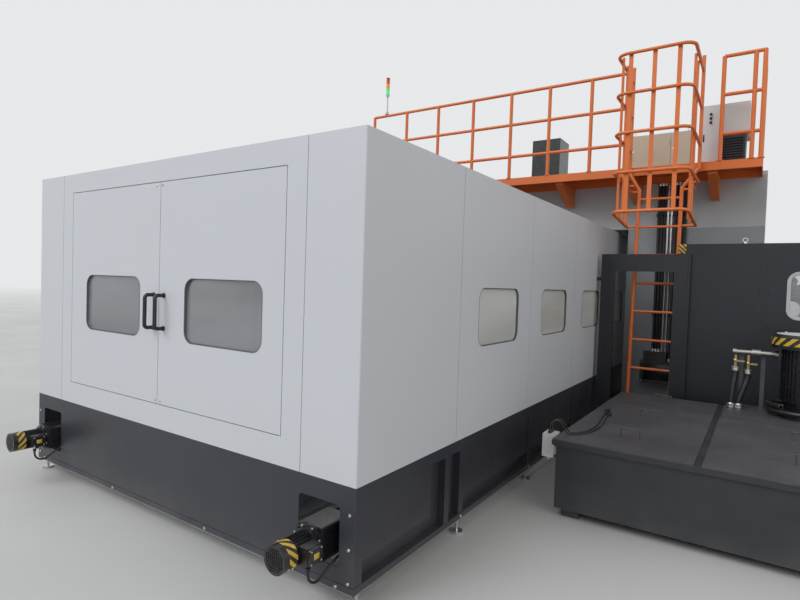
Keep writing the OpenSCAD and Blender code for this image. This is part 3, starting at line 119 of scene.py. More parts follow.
def paintFinish(name, look):
    material, shader = newMaterial(name)
    place = objectPlace(material)
    colour = shaded(material, place, look["colour"], look["mottle"], look["patchScale"])
    if look.get("dust"):
        height = addNode(material, "ShaderNodeSeparateXYZ", {"Vector": place}).outputs["Z"]
        low = spread(material, height, look["dustTop"], look["dustFoot"], 0.0, look["dust"])
        drift = spread(material, noise(material, place, 3.1, 5.0), 0.35, 0.7, 0.2, 1.0)
        colour = blendColour(material, multiply(material, low, drift), colour, look["dustColour"])
    if look.get("wear"):
        edges = edgeMask(material, place, look["wearWidth"], look["wearScale"])
        colour = blendColour(material, multiply(material, edges, look["wear"]), colour, look["wearColour"])
    connect(material, colour, shader.inputs["Base Color"])
    smear = spread(material, noise(material, place, look["smearScale"], 4.0), 0.3, 0.7,
                   look["rough"] - look["roughSpread"], look["rough"] + look["roughSpread"])
    connect(material, smear, shader.inputs["Roughness"])
    shader.inputs["Metallic"].default_value = look.get("metal", 0.0)
    shader.inputs["Coat Weight"].default_value = look.get("coat", 0.0)
    shader.inputs["Coat Roughness"].default_value = 0.12
    bump(material, shader, noise(material, place, look["grainScale"], 2.0), look["grain"], look["grainDepth"])
    return material


def brushedFinish(name, look):
    material, shader = newMaterial(name)
    place = objectPlace(material)
    lines = objectPlace(material, look["brush"])
    strokes = noise(material, lines, look["brushScale"], 4.0)
    colour = shaded(material, place, look["colour"], look["mottle"], look["patchScale"])
    stain = spread(material, noise(material, place, look["stainScale"], 5.0), 0.55, 0.75, 0.0, look["stain"])
    connect(material, blendColour(material, stain, colour, look["stainColour"]), shader.inputs["Base Color"])
    rough = spread(material, strokes, 0.25, 0.75, look["rough"] - look["roughSpread"],
                   look["rough"] + look["roughSpread"])
    connect(material, rough, shader.inputs["Roughness"])
    shader.inputs["Metallic"].default_value = 1.0
    bump(material, shader, strokes, look["grain"], 0.0004)
    return material


def glassFinish(name, look):
    material, shader = newMaterial(name)
    place = objectPlace(material)
    smudge = spread(material, noise(material, place, 2.6, 5.0), 0.35, 0.75, look["rough"], look["roughHigh"])
    connect(material, smudge, shader.inputs["Roughness"])
    # the base colour is blended between two tones in patches stretched upright, standing for blurred
    # reflections in the glass: painted reflections
    paintedReflection = noise(material, objectPlace(material, look["paintedReflectionRun"]), 1.6, 1.5)
    paintedReflectionMix = spread(material, paintedReflection, 0.36, 0.64, 0.0, 1.0)
    colour = blendColour(material, paintedReflectionMix, look["paintedReflectionTone"], look["colour"])
    connect(material, colour, shader.inputs["Base Color"])
    shader.inputs["Transmission Weight"].default_value = look["clear"]
    shader.inputs["IOR"].default_value = look["bend"]
    bump(material, shader, noise(material, place, 1.7, 2.0), 0.05, 0.002)
    return material


# finishes of the frame's own parts, by the record's slot

whiteLook = dict(colour=(0.60, 0.62, 0.655, 1), mottle=0.012, patchScale=0.7, rough=0.42, roughSpread=0.05,
                 smearScale=1.3, grain=0.05, grainScale=420.0, grainDepth=0.0006,
                 dust=0.10, dustTop=0.95, dustFoot=0.55, dustColour=(0.45, 0.44, 0.42, 1))
skirtLook = dict(colour=(0.031, 0.032, 0.042, 1), mottle=0.10, patchScale=1.6, rough=0.40, roughSpread=0.09,
                 smearScale=2.2, grain=0.12, grainScale=520.0, grainDepth=0.0006,
                 dust=0.16, dustTop=0.34, dustFoot=0.02, dustColour=(0.30, 0.29, 0.27, 1),
                 wear=0.5, wearWidth=0.0022, wearScale=14.0, wearColour=(0.20, 0.20, 0.21, 1))
darkLook = dict(skirtLook, colour=(0.013, 0.0145, 0.021, 1), dust=0.05, dustTop=0.5, rough=0.46)
tankLook = dict(skirtLook, colour=(0.026, 0.028, 0.032, 1), mottle=0.16, patchScale=3.0, rough=0.48,
                roughSpread=0.14, smearScale=3.4, wear=0.8)
# the lids take a lighter copy of the tank's dark paint, which stands for the light falling on their tops:
# painted light
paintedLightLidLook = dict(tankLook, colour=(0.070, 0.070, 0.078, 1), wear=0.9, smearScale=2.6, dust=0.0)
orangeLook = dict(colour=(0.72, 0.165, 0.030, 1), mottle=0.06, patchScale=2.4, rough=0.36, roughSpread=0.08,
                  smearScale=5.0, grain=0.10, grainScale=260.0, grainDepth=0.0008,
                  dust=0.12, dustTop=4.5, dustFoot=0.0, dustColour=(0.42, 0.20, 0.10, 1),
                  wear=0.7, wearWidth=0.003, wearScale=11.0, wearColour=(0.24, 0.17, 0.13, 1))
castLook = dict(colour=(0.30, 0.32, 0.335, 1), mottle=0.09, patchScale=1.8, rough=0.52, roughSpread=0.09,
                smearScale=3.0, grain=0.5, grainScale=95.0, grainDepth=0.0022,
                dust=0.25, dustTop=0.5, dustFoot=0.0, dustColour=(0.13, 0.12, 0.11, 1),
                wear=0.5, wearWidth=0.005, wearScale=8.0, wearColour=(0.16, 0.16, 0.17, 1))
bridgeLook = dict(castLook, colour=(0.47, 0.485, 0.495, 1), mottle=0.04, dust=0.0, grain=0.3,
                  wearColour=(0.3, 0.3, 0.31, 1))
tableLook = dict(castLook, colour=(0.30, 0.305, 0.31, 1), metal=0.85, rough=0.36, mottle=0.12, dust=0.0,
                 grain=0.12, grainScale=240.0, wear=0.9, wearWidth=0.003, wearColour=(0.55, 0.55, 0.55, 1))
enamelLook = dict(colour=(0.009, 0.0095, 0.011, 1), mottle=0.12, patchScale=9.0, rough=0.30, roughSpread=0.08,
                  smearScale=14.0, grain=0.16, grainScale=180.0, grainDepth=0.0006, coat=0.25,
                  wear=0.6, wearWidth=0.0016, wearScale=30.0, wearColour=(0.16, 0.16, 0.17, 1))
handleLook = dict(enamelLook, rough=0.38, coat=0.1, wear=0.25)
rubberLook = dict(colour=(0.013, 0.013, 0.014, 1), mottle=0.15, patchScale=20.0, rough=0.55, roughSpread=0.1,
                  smearScale=16.0, grain=0.3, grainScale=300.0, grainDepth=0.0006)
beigeLook = dict(whiteLook, colour=(0.53, 0.47, 0.36, 1), mottle=0.04, dust=0.0, grain=0.1,
                 wear=0.4, wearWidth=0.003, wearScale=9.0, wearColour=(0.3, 0.27, 0.22, 1))
cabinetLook = dict(whiteLook, colour=(0.62, 0.62, 0.61, 1), mottle=0.03, dust=0.0,
                   wear=0.3, wearWidth=0.0025, wearScale=12.0, wearColour=(0.35, 0.35, 0.35, 1))
steelLook = dict(colour=(0.56, 0.57, 0.58, 1), mottle=0.10, patchScale=6.0, brush=(1, 30, 30), brushScale=9.0,
                 stainScale=7.0, stain=0.45, stainColour=(0.28, 0.26, 0.23, 1), rough=0.30, roughSpread=0.12,
                 grain=0.15)
brassLook = dict(steelLook, colour=(0.42, 0.33, 0.17, 1), brush=(14, 1, 14), brushScale=12.0, stain=0.6,
                 stainColour=(0.16, 0.13, 0.10, 1), rough=0.38)
pipeLook = dict(steelLook, colour=(0.34, 0.33, 0.31, 1), stain=0.85, stainScale=16.0,
                stainColour=(0.07, 0.06, 0.05, 1), rough=0.42)
# each glass's second tone and upright stretch are those of its painted reflections, standing for blurred
# reflections in the glass
windowLook = dict(colour=(0.70, 0.725, 0.745, 1), paintedReflectionTone=(0.53, 0.55, 0.565, 1),
                  paintedReflectionRun=(0.35, 0.35, 1.6), rough=0.05, roughHigh=0.20, clear=0.84, bend=1.48)
sideWindowLook = dict(windowLook, colour=(0.96, 0.96, 0.93, 1), paintedReflectionTone=(0.78, 0.78, 0.755, 1),
                      rough=0.06, roughHigh=0.26, clear=0.34, bend=1.9)
lampLook = dict(ribs=60.0, ribStrength=0.4, ribDepth=0.002, rough=0.18, clear=0.25)


def lampFinish(name, colour, glow):
    material, shader = newMaterial(name)
    place = objectPlace(material)
    ribs = addNode(material, "ShaderNodeTexWave", {"Vector": place, "Scale": lampLook["ribs"]},
                   bands_direction="Z").outputs["Fac"]
    connect(material, shaded(material, place, colour, 0.08, 30.0), shader.inputs["Base Color"])
    shader.inputs["Roughness"].default_value = lampLook["rough"]
    shader.inputs["Transmission Weight"].default_value = lampLook["clear"]
    shader.inputs["Emission Color"].default_value = colour
    shader.inputs["Emission Strength"].default_value = glow
    bump(material, shader, ribs, lampLook["ribStrength"], lampLook["ribDepth"])
    return material


finishes = {
    "white_panel": paintFinish("whitePowderCoat", whiteLook),
    "window": glassFinish("windowGlass", windowLook),
    "skirt_grey": paintFinish("skirtCoat", skirtLook),
    "steel": brushedFinish("machinedSteel", steelLook),
    "cast_grey": paintFinish("paintedCasting", castLook),
    "table_iron": paintFinish("groundIron", tableLook),
    "black_enamel": paintFinish("blackEnamel", enamelLook),
    "black_handle": paintFinish("handleCoat", handleLook),
    "black_rubber": paintFinish("blackRubber", rubberLook),
    "bridge_grey": paintFinish("bridgeGrey", bridgeLook),
    "orange": paintFinish("safetyOrange", orangeLook),
    "beige": paintFinish("cabinetBeige", beigeLook),
    "cabinet_white": paintFinish("cabinetWhite", cabinetLook),
    "chiller_black": paintFinish("chillerBlack", darkLook),
    "lamp_red": lampFinish("lampRed", (0.62, 0.02, 0.015, 1), 0.15),
    "lamp_amber": lampFinish("lampAmber", (0.85, 0.35, 0.03, 1), 0.1),
    "lamp_green": lampFinish("lampGreen", (0.03, 0.55, 0.16, 1), 0.6),
    "gate_dark": paintFinish("gateCoat", darkLook),
    "tank_dark": paintFinish("tankCoat", tankLook),
    "manifold_brass": brushedFinish("dullBrass", brassLook),
}
for part in record["subparts"]:
    slots = nodes[part["node"]].data.materials
    slots.clear()
    slots.append(finishes[part["material_slot"]])
print("finishes given to the frame's parts")


# helpers for shapes: a part is an object made with operators, and a piece is its parts joined

def facing(side, where):
    # a place whose local Z points out of the object on that side
    axes = {"front": ((1, 0, 0), (0, 0, 1), (0, -1, 0)), "rear": ((-1, 0, 0), (0, 0, 1), (0, 1, 0)),
            "right": ((0, 1, 0), (0, 0, 1), (1, 0, 0)), "left": ((0, -1, 0), (0, 0, 1), (-1, 0, 0)),
            "up": ((1, 0, 0), (0, 1, 0), (0, 0, 1)), "down": ((1, 0, 0), (0, -1, 0), (0, 0, -1))}[side]
    return Matrix.Translation(where) @ Matrix(axes).transposed().to_4x4()


def aimed(where, along):
    # a place whose local Z runs along a direction
    return Matrix.Translation(where) @ Vector(along).to_track_quat("Z", "Y").to_matrix().to_4x4()


def turnsOf(count, first=0.0):
    return [math.radians(first + 360 * k / count) for k in range(count)]


def startEdit():
    bpy.ops.object.transform_apply(location=True, rotation=True, scale=True)
    bpy.ops.object.mode_set(mode="EDIT")


def endEdit():
    bpy.ops.mesh.select_all(action="SELECT")
    bpy.ops.mesh.normals_make_consistent(inside=False)
    bpy.ops.object.mode_set(mode="OBJECT")
    return bpy.context.active_object


def blockPart(low, high, edge=0.002):
    low, high = Vector(low), Vector(high)
    bpy.ops.object.select_all(action="DESELECT")
    bpy.ops.mesh.primitive_cube_add(size=1.0, location=(low + high) / 2, scale=high - low)
    startEdit()
    bpy.ops.mesh.bevel(offset=edge, segments=2, profile=0.5, affect="EDGES")
    return endEdit()


def turnedPart(profile, sides=32, ring=False):
    # a circle is extruded and scaled from one (radius, height) to the next; a ring ends where it began
    radius, height = profile[0]
    bpy.ops.object.select_all(action="DESELECT")
    bpy.ops.mesh.primitive_circle_add(vertices=sides, radius=radius, location=(0, 0, height),
                                      rotation=(0, 0, -math.pi / 2), fill_type="NOTHING" if ring else "NGON")
    startEdit()
    for wide, high in profile[1:] + (profile[:1] if ring else []):
        bpy.ops.mesh.extrude_region_move(TRANSFORM_OT_translate={"value": (0, 0, high - height)})
        bpy.ops.transform.resize(value=(wide / radius, wide / radius, 1), center_override=(0, 0, high))
        radius, height = wide, high
    if ring:
        bpy.ops.mesh.select_all(action="SELECT")
        bpy.ops.mesh.remove_doubles(threshold=0.000001)
    return endEdit()


def screwPart(radius, height):
    return turnedPart([(radius, 0), (radius, height * 0.35), (radius * 0.86, height * 0.78),
                       (radius * 0.55, height), (radius * 0.48, height), (radius * 0.42, height * 0.45)], 20)


def hexPart(radius, height):
    return turnedPart([(radius, 0), (radius, height * 0.8), (radius * 0.86, height)], 6)


def bandPart(inner, outer, length, sides):
    # a thin sleeve with softened rims
    return turnedPart([(inner, 0), (outer - 0.0003, 0), (outer, 0.0004), (outer, length - 0.0004),
                       (outer - 0.0003, length), (inner, length)], sides, ring=True)


def loopPart(major, minor, majorSides, minorSides):
    # a round bar bent into a standing ring
    bpy.ops.object.select_all(action="DESELECT")
    bpy.ops.mesh.primitive_torus_add(major_radius=major, minor_radius=minor, major_segments=majorSides,
                                     minor_segments=minorSides, rotation=(math.pi / 2, 0, 0))
    startEdit()
    return endEdit()


def roundedOutline(width, height, corner, lift, steps):
    # a plane with round corners, of which only the outline stays
    bpy.ops.mesh.primitive_plane_add(size=1.0, location=(0, 0, lift))
    bpy.ops.transform.resize(value=(width, height, 1), center_override=(0, 0, lift))
    bpy.ops.mesh.bevel(offset=corner, segments=steps, profile=0.5, affect="VERTICES")
    bpy.ops.mesh.select_all(action="SELECT")
    bpy.ops.mesh.delete(type="ONLY_FACE")


def gasketPart(width, height, corner, section, steps=8):
    # two outlines are bridged for each side of the section, whose points are (offset outwards, lift);
    # what is done is hidden meanwhile, and the work starts in an emptied mesh
    bpy.ops.object.select_all(action="DESELECT")
    bpy.ops.mesh.primitive_plane_add(enter_editmode=True)
    bpy.ops.mesh.delete(type="VERT")
    for ends in zip(section, section[1:] + section[:1]):
        for out, lift in ends:
            roundedOutline(width + 2 * out, height + 2 * out, corner + out, lift, steps)
        bpy.ops.mesh.select_all(action="SELECT")
        bpy.ops.mesh.bridge_edge_loops()
        bpy.ops.mesh.select_all(action="SELECT")
        bpy.ops.mesh.hide(unselected=False)
    bpy.ops.mesh.reveal()
    bpy.ops.mesh.select_all(action="SELECT")
    bpy.ops.mesh.remove_doubles(threshold=0.000001)
    return endEdit()


def smoothRoute(points, steps):
    points = [Vector(point) for point in points]
    ends = [points[0] * 2 - points[1]] + points + [points[-1] * 2 - points[-2]]
    route = []
    for k in range(1, len(ends) - 2):
        a, b, c, d = ends[k - 1:k + 3]
        for step in range(steps):
            t = step / steps
            route.append(0.5 * (b * 2 + (c - a) * t + (a * 2 - b * 5 + c * 4 - d) * t ** 2
                                + (b * 3 - a - c * 3 + d) * t ** 3))
    return route + [points[-1]]


def tubePart(route, radius, sides):
    # a cord's tube, with a ring of corners at each point of its route
    tube = bmesh.new()
    rows, side = [], None
    for k, point in enumerate(route):
        ahead = (route[min(k + 1, len(route) - 1)] - route[max(k - 1, 0)]).normalized()
        side = ahead.orthogonal() if side is None else side
        side = (side - ahead * side.dot(ahead)).normalized()
        up = ahead.cross(side)
        rows.append([tube.verts.new(point + (side * math.cos(turn) + up * math.sin(turn)) * radius)
                     for turn in turnsOf(sides)])
    for lower, upper in zip(rows, rows[1:]):
        for n in range(sides):
            after = (n + 1) % sides
            tube.faces.new((lower[n], lower[after], upper[after], upper[n]))
    tube.faces.new(rows[0][::-1])
    tube.faces.new(rows[-1])
    bmesh.ops.recalc_face_normals(tube, faces=tube.faces)
    mesh = bpy.data.meshes.new("tube")
    tube.to_mesh(mesh)
    tube.free()
    part = bpy.data.objects.new("tube", mesh)
    bpy.context.scene.collection.objects.link(part)
    return part


def put(parts, part, finish, places=(Matrix(),)):
    # the part goes to its first place, and a copy with its own mesh to each other one
    part.data.materials.append(finish)
    for number, place in enumerate(places):
        copy = part
        if number:
            copy = part.copy()
            copy.data = part.data.copy()
            bpy.context.scene.collection.objects.link(copy)
        copy.matrix_world = place
        parts.append(copy)


def makePiece(name, parts, body="machine", sharp=32):
    bpy.ops.object.select_all(action="DESELECT")
    for part in parts:
        part.select_set(True)
    piece = parts[0]
    bpy.context.view_layer.objects.active = piece
    if len(parts) > 1:
        bpy.ops.object.join()
    bpy.ops.object.transform_apply(location=True, rotation=True, scale=True)
    bpy.ops.object.shade_smooth_by_angle(angle=math.radians(sharp))
    # no finish here reads a UV map, so the ones that came with the primitives go
    while piece.data.uv_layers:
        piece.data.uv_layers.remove(piece.data.uv_layers[0])
    piece.name = name
    piece.data.name = name
    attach(piece, body)
    return piece


# finishes of the new pieces

def hazardFinish(name, look):
    # stripes run by height and by the angle round an axis, or across a flat face
    material, shader = newMaterial(name)
    place = objectPlace(material)
    parts = addNode(material, "ShaderNodeSeparateXYZ", {"Vector": place}).outputs

    def combine(one, two, kind="ADD"):
        return addNode(material, "ShaderNodeMath", {0: one, 1: two}, operation=kind).outputs["Value"]

    across = combine(parts["X"], 0.0, "ABSOLUTE") if look["round"] == "Y" else parts["X"]
    if look["round"] is None:
        along = combine(across, parts["Z"])
    else:
        other, run = (parts["Z"], parts["Y"]) if look["round"] == "Y" else (parts["Y"], parts["Z"])
        angle = combine(combine(other, look["centre"][1], "SUBTRACT"),
                        combine(across, look["centre"][0], "SUBTRACT"), "ARCTAN2")
        along = combine(combine(angle, look["radius"], "MULTIPLY"), combine(run, look["lean"], "MULTIPLY"))
    # 40 whole stripes are added, so that the share never starts below zero
    share = combine(combine(combine(along, look["pitch"], "DIVIDE"), 40.0), 1.0, "FLOORED_MODULO")
    bands = spread(material, share, 0.49, 0.51, 0.0, 1.0)
    worn = spread(material, noise(material, place, 60.0, 5.0), 0.35, 0.75, 0.0, 0.35)
    colour = blendColour(material, bands, hazardColours["black"], hazardColours["yellow"])
    connect(material, blendColour(material, worn, colour, hazardColours["worn"]), shader.inputs["Base Color"])
    rough = spread(material, noise(material, place, 30.0), 0.3, 0.7, 0.30, 0.50)
    connect(material, rough, shader.inputs["Roughness"])
    bump(material, shader, noise(material, place, 220.0), 0.12, 0.0005)
    return material


def corrugatedFinish(name, look):
    material, shader = newMaterial(name)
    place = objectPlace(material)
    rings = addNode(material, "ShaderNodeTexWave", {"Vector": place, "Scale": look["rings"]},
                    bands_direction="Z").outputs["Fac"]
    connect(material, shaded(material, place, look["colour"], 0.2, 6.0), shader.inputs["Base Color"])
    rough = spread(material, noise(material, place, 9.0), 0.3, 0.7, 0.38, 0.6)
    connect(material, rough, shader.inputs["Roughness"])
    bump(material, shader, rings, 0.5, 0.003)
    return material


hazardColours = dict(black=(0.012, 0.012, 0.013, 1), yellow=(0.72, 0.46, 0.035, 1),
                     worn=(0.16, 0.14, 0.10, 1))
fanBandLook = dict(round="Y", centre=(1.402, 0.318), radius=0.07, lean=1.0, pitch=2 * math.pi * 0.07 / 9)
pumpBandLook = dict(round="Z", centre=(3.53, -2.85), radius=0.259, lean=-1.2, pitch=2 * math.pi * 0.259 / 18)
fanHazard = hazardFinish("fanHazard", fanBandLook)
pumpHazard = hazardFinish("pumpHazard", pumpBandLook)
cornerHazard = hazardFinish("cornerHazard", dict(round=None, pitch=0.043))
signYellow = paintFinish("signYellow", dict(enamelLook, colour=(0.62, 0.44, 0.05, 1), coat=0.2, wear=0.3))
gasketGrey = paintFinish("gasketGrey", dict(rubberLook, colour=(0.46, 0.47, 0.47, 1), mottle=0.05, rough=0.5))
gasketDark = paintFinish("gasketDark", dict(rubberLook, colour=(0.10, 0.10, 0.105, 1)))
# a lighter grey for thin strips that stand for the bright line of light along the foot rails: painted
# highlight
paintedEdgeHighlight = paintFinish("paintedEdgeHighlight", dict(whiteLook, colour=(0.20, 0.20, 0.20, 1), mottle=0.25, patchScale=4.0))
zincLook = dict(steelLook, colour=(0.62, 0.62, 0.60, 1), brush=(1, 1, 1), rough=0.34)
zincScrew = brushedFinish("zincScrew", zincLook)
hoseRibbed = corrugatedFinish("hoseRibbed", dict(colour=(0.022, 0.022, 0.024, 1), rings=32.0))
hoseRubber = paintFinish("hoseRubber", dict(rubberLook, colour=(0.016, 0.016, 0.017, 1), rough=0.38))
nodes["hose_bundle"].data.materials[0] = hoseRibbed
# the tank's lids get the lighter copy of its paint: painted light on their tops
nodes["tank_lids"].data.materials[0] = paintFinish("lidCoatPaintedLight", paintedLightLidLook)
nodes["manifold"].data.materials[0] = brushedFinish("dirtyPipe", pipeLook)
nodes["wall_windows"].data.materials[0] = glassFinish("sideWindowGlass", sideWindowLook)
print("finishes of the new pieces made")


# chip conveyor motors: hazard bands, cover plates and bolts

motorLook = dict(axisX=1.402, axisZ=0.318,
                 bandFront=-6.760, bandRear=-6.709, bandInner=0.0692, bandOuter=0.0701,
                 capScrews=4, capScrewY=-6.722, capScrewReach=0.0702,
                 boxX=0.126, boxY=-6.646, boxLift=0.0025, boxScrewY=0.033, boxScrewZ=0.030,
                 signWidth=0.036, signHeight=0.028, signThick=0.0009,
                 flangeBolts=8, flangeY=-6.5783, flangeReach=0.087)


def makeMotorFittings(name, side):
    look = motorLook
    parts = []
    axis = Vector((side * look["axisX"], 0, look["axisZ"]))
    band = bandPart(look["bandInner"], look["bandOuter"], look["bandRear"] - look["bandFront"], 64)
    put(parts, band, fanHazard, [facing("front", axis + Vector((0, look["bandRear"], 0)))])
    rays = [Vector((math.cos(turn), 0, math.sin(turn))) for turn in turnsOf(look["capScrews"], 45)]
    put(parts, screwPart(0.005, 0.003), zincScrew,
        [aimed(axis + ray * look["capScrewReach"] + Vector((0, look["capScrewY"], 0)), ray) for ray in rays])
    lid = axis + Vector((look["boxX"], look["boxY"], look["boxLift"]))
    put(parts, screwPart(0.0045, 0.0028), zincScrew,
        [facing("right", lid + Vector((0, y * look["boxScrewY"], z * look["boxScrewZ"])))
         for y in (-1, 1) for z in (-1, 1)])
    wide, tall = look["signWidth"] / 2, look["signHeight"] / 2
    put(parts, blockPart((-wide, -tall, 0), (wide, tall, look["signThick"]), 0.0004), signYellow,
        [facing("right", lid)])
    rays = [Vector((math.cos(turn), 0, math.sin(turn))) for turn in turnsOf(look["flangeBolts"], 22.5)]
    put(parts, hexPart(0.006, 0.005), zincScrew,
        [facing("front", axis + ray * look["flangeReach"] + Vector((0, look["flangeY"], 0))) for ray in rays])
    makePiece(name, parts)


makeMotorFittings("motorFittingsRight", 1)
makeMotorFittings("motorFittingsLeft", -1)
print("motor fittings made")


# windows: rubber beads in the walls and doors, a pale one in the magazine's panel

windowLayout = dict(width=0.69, height=0.394, corner=0.075, mid=1.388, wall=1.635, end=6.5,
                    bay=1.22, bays=4, bayStarts=(-5.5, 0.62), rearX=0.586, rightDoorX=0.612, leftDoorX=-0.56)
# the bead sits on the pane's edge inside the opening, its lip just proud of the panel
beadSection = [(-0.0050, -0.014), (-0.0006, -0.014), (-0.0006, 0.0002), (0.0010, 0.0004), (0.0012, 0.0012),
               (-0.0012, 0.0016), (-0.0034, 0.0004), (-0.0046, -0.004)]
magazineWindow = dict(width=0.72, height=0.442, corner=0.09, place=(3.745, -2.204, 1.60))
magazineSection = [(-0.024, -0.003), (-0.0006, -0.003), (-0.0006, 0.0008), (0.006, 0.0016), (0.0075, 0.0034),
                   (-0.016, 0.0042), (-0.022, 0.002)]


def makeBeads(name, spots, body="machine"):
    # a spot is the side that the window faces and its middle in X and Y
    parts = []
    bead = gasketPart(windowLayout["width"], windowLayout["height"], windowLayout["corner"], beadSection)
    put(parts, bead, gasketDark, [facing(side, (x, y, windowLayout["mid"])) for side, x, y in spots])
    makePiece(name, parts, body, 40)


bayMiddles = [start + windowLayout["bay"] * (k + 0.5) for start in windowLayout["bayStarts"]
              for k in range(windowLayout["bays"])]
makeBeads("sideWindowBeads", [(side, sign * windowLayout["wall"], middle)
                              for side, sign in (("right", 1), ("left", -1)) for middle in bayMiddles])
makeBeads("rearWindowBeads", [("rear", sign * windowLayout["rearX"], windowLayout["end"])
                              for sign in (1, -1)])
makeBeads("doorBeadRight", [("front", windowLayout["rightDoorX"], -windowLayout["end"])], "right_door")
makeBeads("doorBeadLeft", [("front", windowLayout["leftDoorX"], -windowLayout["end"])], "left_door")
parts = []
put(parts, gasketPart(magazineWindow["width"], magazineWindow["height"], magazineWindow["corner"],
                      magazineSection, 12), gasketGrey, [facing("front", magazineWindow["place"])])
makePiece("magazineBead", parts, sharp=40)
print("window beads made")


# door latch screws, the magazine's hazard plate and screws, and pale strips along the foot rails that stand
# for the bright line of light on their edges: painted highlight

latchScrews = dict(radius=0.009, height=0.005, doorFace=-6.5,
                   spots=[(-0.045, 2.17), (0.025, 2.17), (-0.022, 0.80), (0.033, 0.80)])
magazineTrim = dict(face=-2.2, plateLow=(2.441, -2.2014, 2.004), plateHigh=(2.511, -2.1999, 2.097),
                    rivets=8, rivetX=2.466, rivetLow=0.62, rivetPitch=0.055,
                    screwsX=(2.50, 3.10, 3.22, 4.27, 4.40, 4.48), screwsZ=(0.10, 2.06))
# the strips run along the foot of the front and of both sides: painted highlight
railHighlightStrip = dict(low=0.0905, high=0.0965, frontX=1.631, frontFace=-6.5016, frontBack=-6.4996,
                sideIn=1.6346, sideOut=1.6366, sideEnd=6.495)

parts = []
put(parts, screwPart(latchScrews["radius"], latchScrews["height"]), zincScrew,
    [facing("front", (x, latchScrews["doorFace"], z)) for x, z in latchScrews["spots"]])
makePiece("latchScrewsRight", parts, "right_door")
parts = []
put(parts, blockPart(magazineTrim["plateLow"], magazineTrim["plateHigh"], 0.0006), cornerHazard)
makePiece("cornerHazardPlate", parts)
parts = []
put(parts, screwPart(0.006, 0.004), zincScrew,
    [facing("front", (magazineTrim["rivetX"], magazineTrim["face"],
                      magazineTrim["rivetLow"] + magazineTrim["rivetPitch"] * k))
     for k in range(magazineTrim["rivets"])])
put(parts, screwPart(0.009, 0.005), finishes["gate_dark"],
    [facing("front", (x, magazineTrim["face"], z))
     for x in magazineTrim["screwsX"] for z in magazineTrim["screwsZ"]])
makePiece("magazineScrews", parts)
# lighter strips along the foot of the front and sides, standing for a bright line of light: painted highlight
parts = []
put(parts, blockPart((-railHighlightStrip["frontX"], railHighlightStrip["frontFace"], railHighlightStrip["low"]),
                     (railHighlightStrip["frontX"], railHighlightStrip["frontBack"], railHighlightStrip["high"]), 0.0007), paintedEdgeHighlight)
for sign in (1, -1):
    low, high = sorted((sign * railHighlightStrip["sideIn"], sign * railHighlightStrip["sideOut"]))
    put(parts, blockPart((low, -railHighlightStrip["sideEnd"], railHighlightStrip["low"]),
                         (high, railHighlightStrip["sideEnd"], railHighlightStrip["high"]), 0.0007), paintedEdgeHighlight)
makePiece("footRailPaintedHighlights", parts)
print("screws, plates and edges made")


# coolant pump: hazard band, lid disc, bolts and stud ends with their washers

pumpLook = dict(x=3.53, y=-2.85, capLow=1.186, capHigh=1.250, bandInner=0.2582, bandOuter=0.2592, top=1.2763,
                capBolts=6, capBoltReach=0.205, capBoltFoot=1.2803,
                studs=12, studReach=0.18, washerFoot=0.6083, studFoot=0.6235)
lidDisc = [(0.226, 0), (0.226, 0.002), (0.222, 0.004), (0.12, 0.0075), (0.05, 0.0082), (0.02, 0.0083)]


def roundPump(count, reach, foot, first=0.0):
    middle = Vector((pumpLook["x"], pumpLook["y"], foot))
    return [facing("up", middle + Vector((math.cos(turn), math.sin(turn), 0)) * reach)
            for turn in turnsOf(count, first)]


parts = []
capHeight = pumpLook["capHigh"] - pumpLook["capLow"]
put(parts, bandPart(pumpLook["bandInner"], pumpLook["bandOuter"], capHeight, 96), pumpHazard,
    roundPump(1, 0, pumpLook["capLow"]))
put(parts, turnedPart(lidDisc, 64), finishes["cabinet_white"], roundPump(1, 0, pumpLook["top"]))
put(parts, hexPart(0.011, 0.008), zincScrew,
    roundPump(pumpLook["capBolts"], pumpLook["capBoltReach"], pumpLook["capBoltFoot"], 20))
put(parts, turnedPart([(0.0175, 0), (0.0175, 0.002), (0.016, 0.003), (0.0125, 0.003)], 24), zincScrew,
    roundPump(pumpLook["studs"], pumpLook["studReach"], pumpLook["washerFoot"]))
put(parts, turnedPart([(0.0085, 0), (0.0085, 0.007), (0.0065, 0.009)], 16), zincScrew,
    roundPump(pumpLook["studs"], pumpLook["studReach"], pumpLook["studFoot"]))
makePiece("pumpTrim", parts)
print("pump trim made")


# coolant hoses: two drops from the valves to the tank, and the spare coil round the pump's foot

dropLook = dict(radius=0.023, collar=0.030)
drops = {"dropHoseNear": [(3.014, -2.79, 0.954), (3.014, -2.79, 0.884), (3.002, -2.81, 0.774),
                          (2.994, -2.826, 0.6523), (2.994, -2.826, 0.5833)],
         "dropHoseFar": [(3.111, -2.79, 0.936), (3.111, -2.79, 0.866), (3.081, -2.81, 0.756),
                         (3.053, -2.826, 0.6523), (3.053, -2.826, 0.5833)]}
coilLook = dict(radius=0.020, bend=0.265, low=0.6028, rise=0.043, turnSteps=14, steps=25, first=-60)


def makeCord(name, route, radius, sides):
    parts = []
    put(parts, tubePart(route, radius, sides), hoseRubber)
    return makePiece(name, parts, sharp=50)


def makeDrop(name, points):
    route = smoothRoute(points, 8)
    hose = makeCord(name, route, dropLook["radius"], 24)
    parts = []
    radius, collar = dropLook["radius"] + 0.0006, dropLook["collar"]
    ferrule = [(radius, 0), (collar - 0.003, 0), (collar, 0.003), (collar, 0.012), (collar - 0.0025, 0.014),
               (collar - 0.0025, 0.020), (collar - 0.001, 0.022), (collar - 0.001, 0.038), (radius, 0.046)]
    put(parts, turnedPart(ferrule, 32, ring=True), zincScrew,
        [facing("down", points[0]), facing("up", points[-1])])
    ends = makePiece(name + "Ends", parts)
    return hose, route, ends


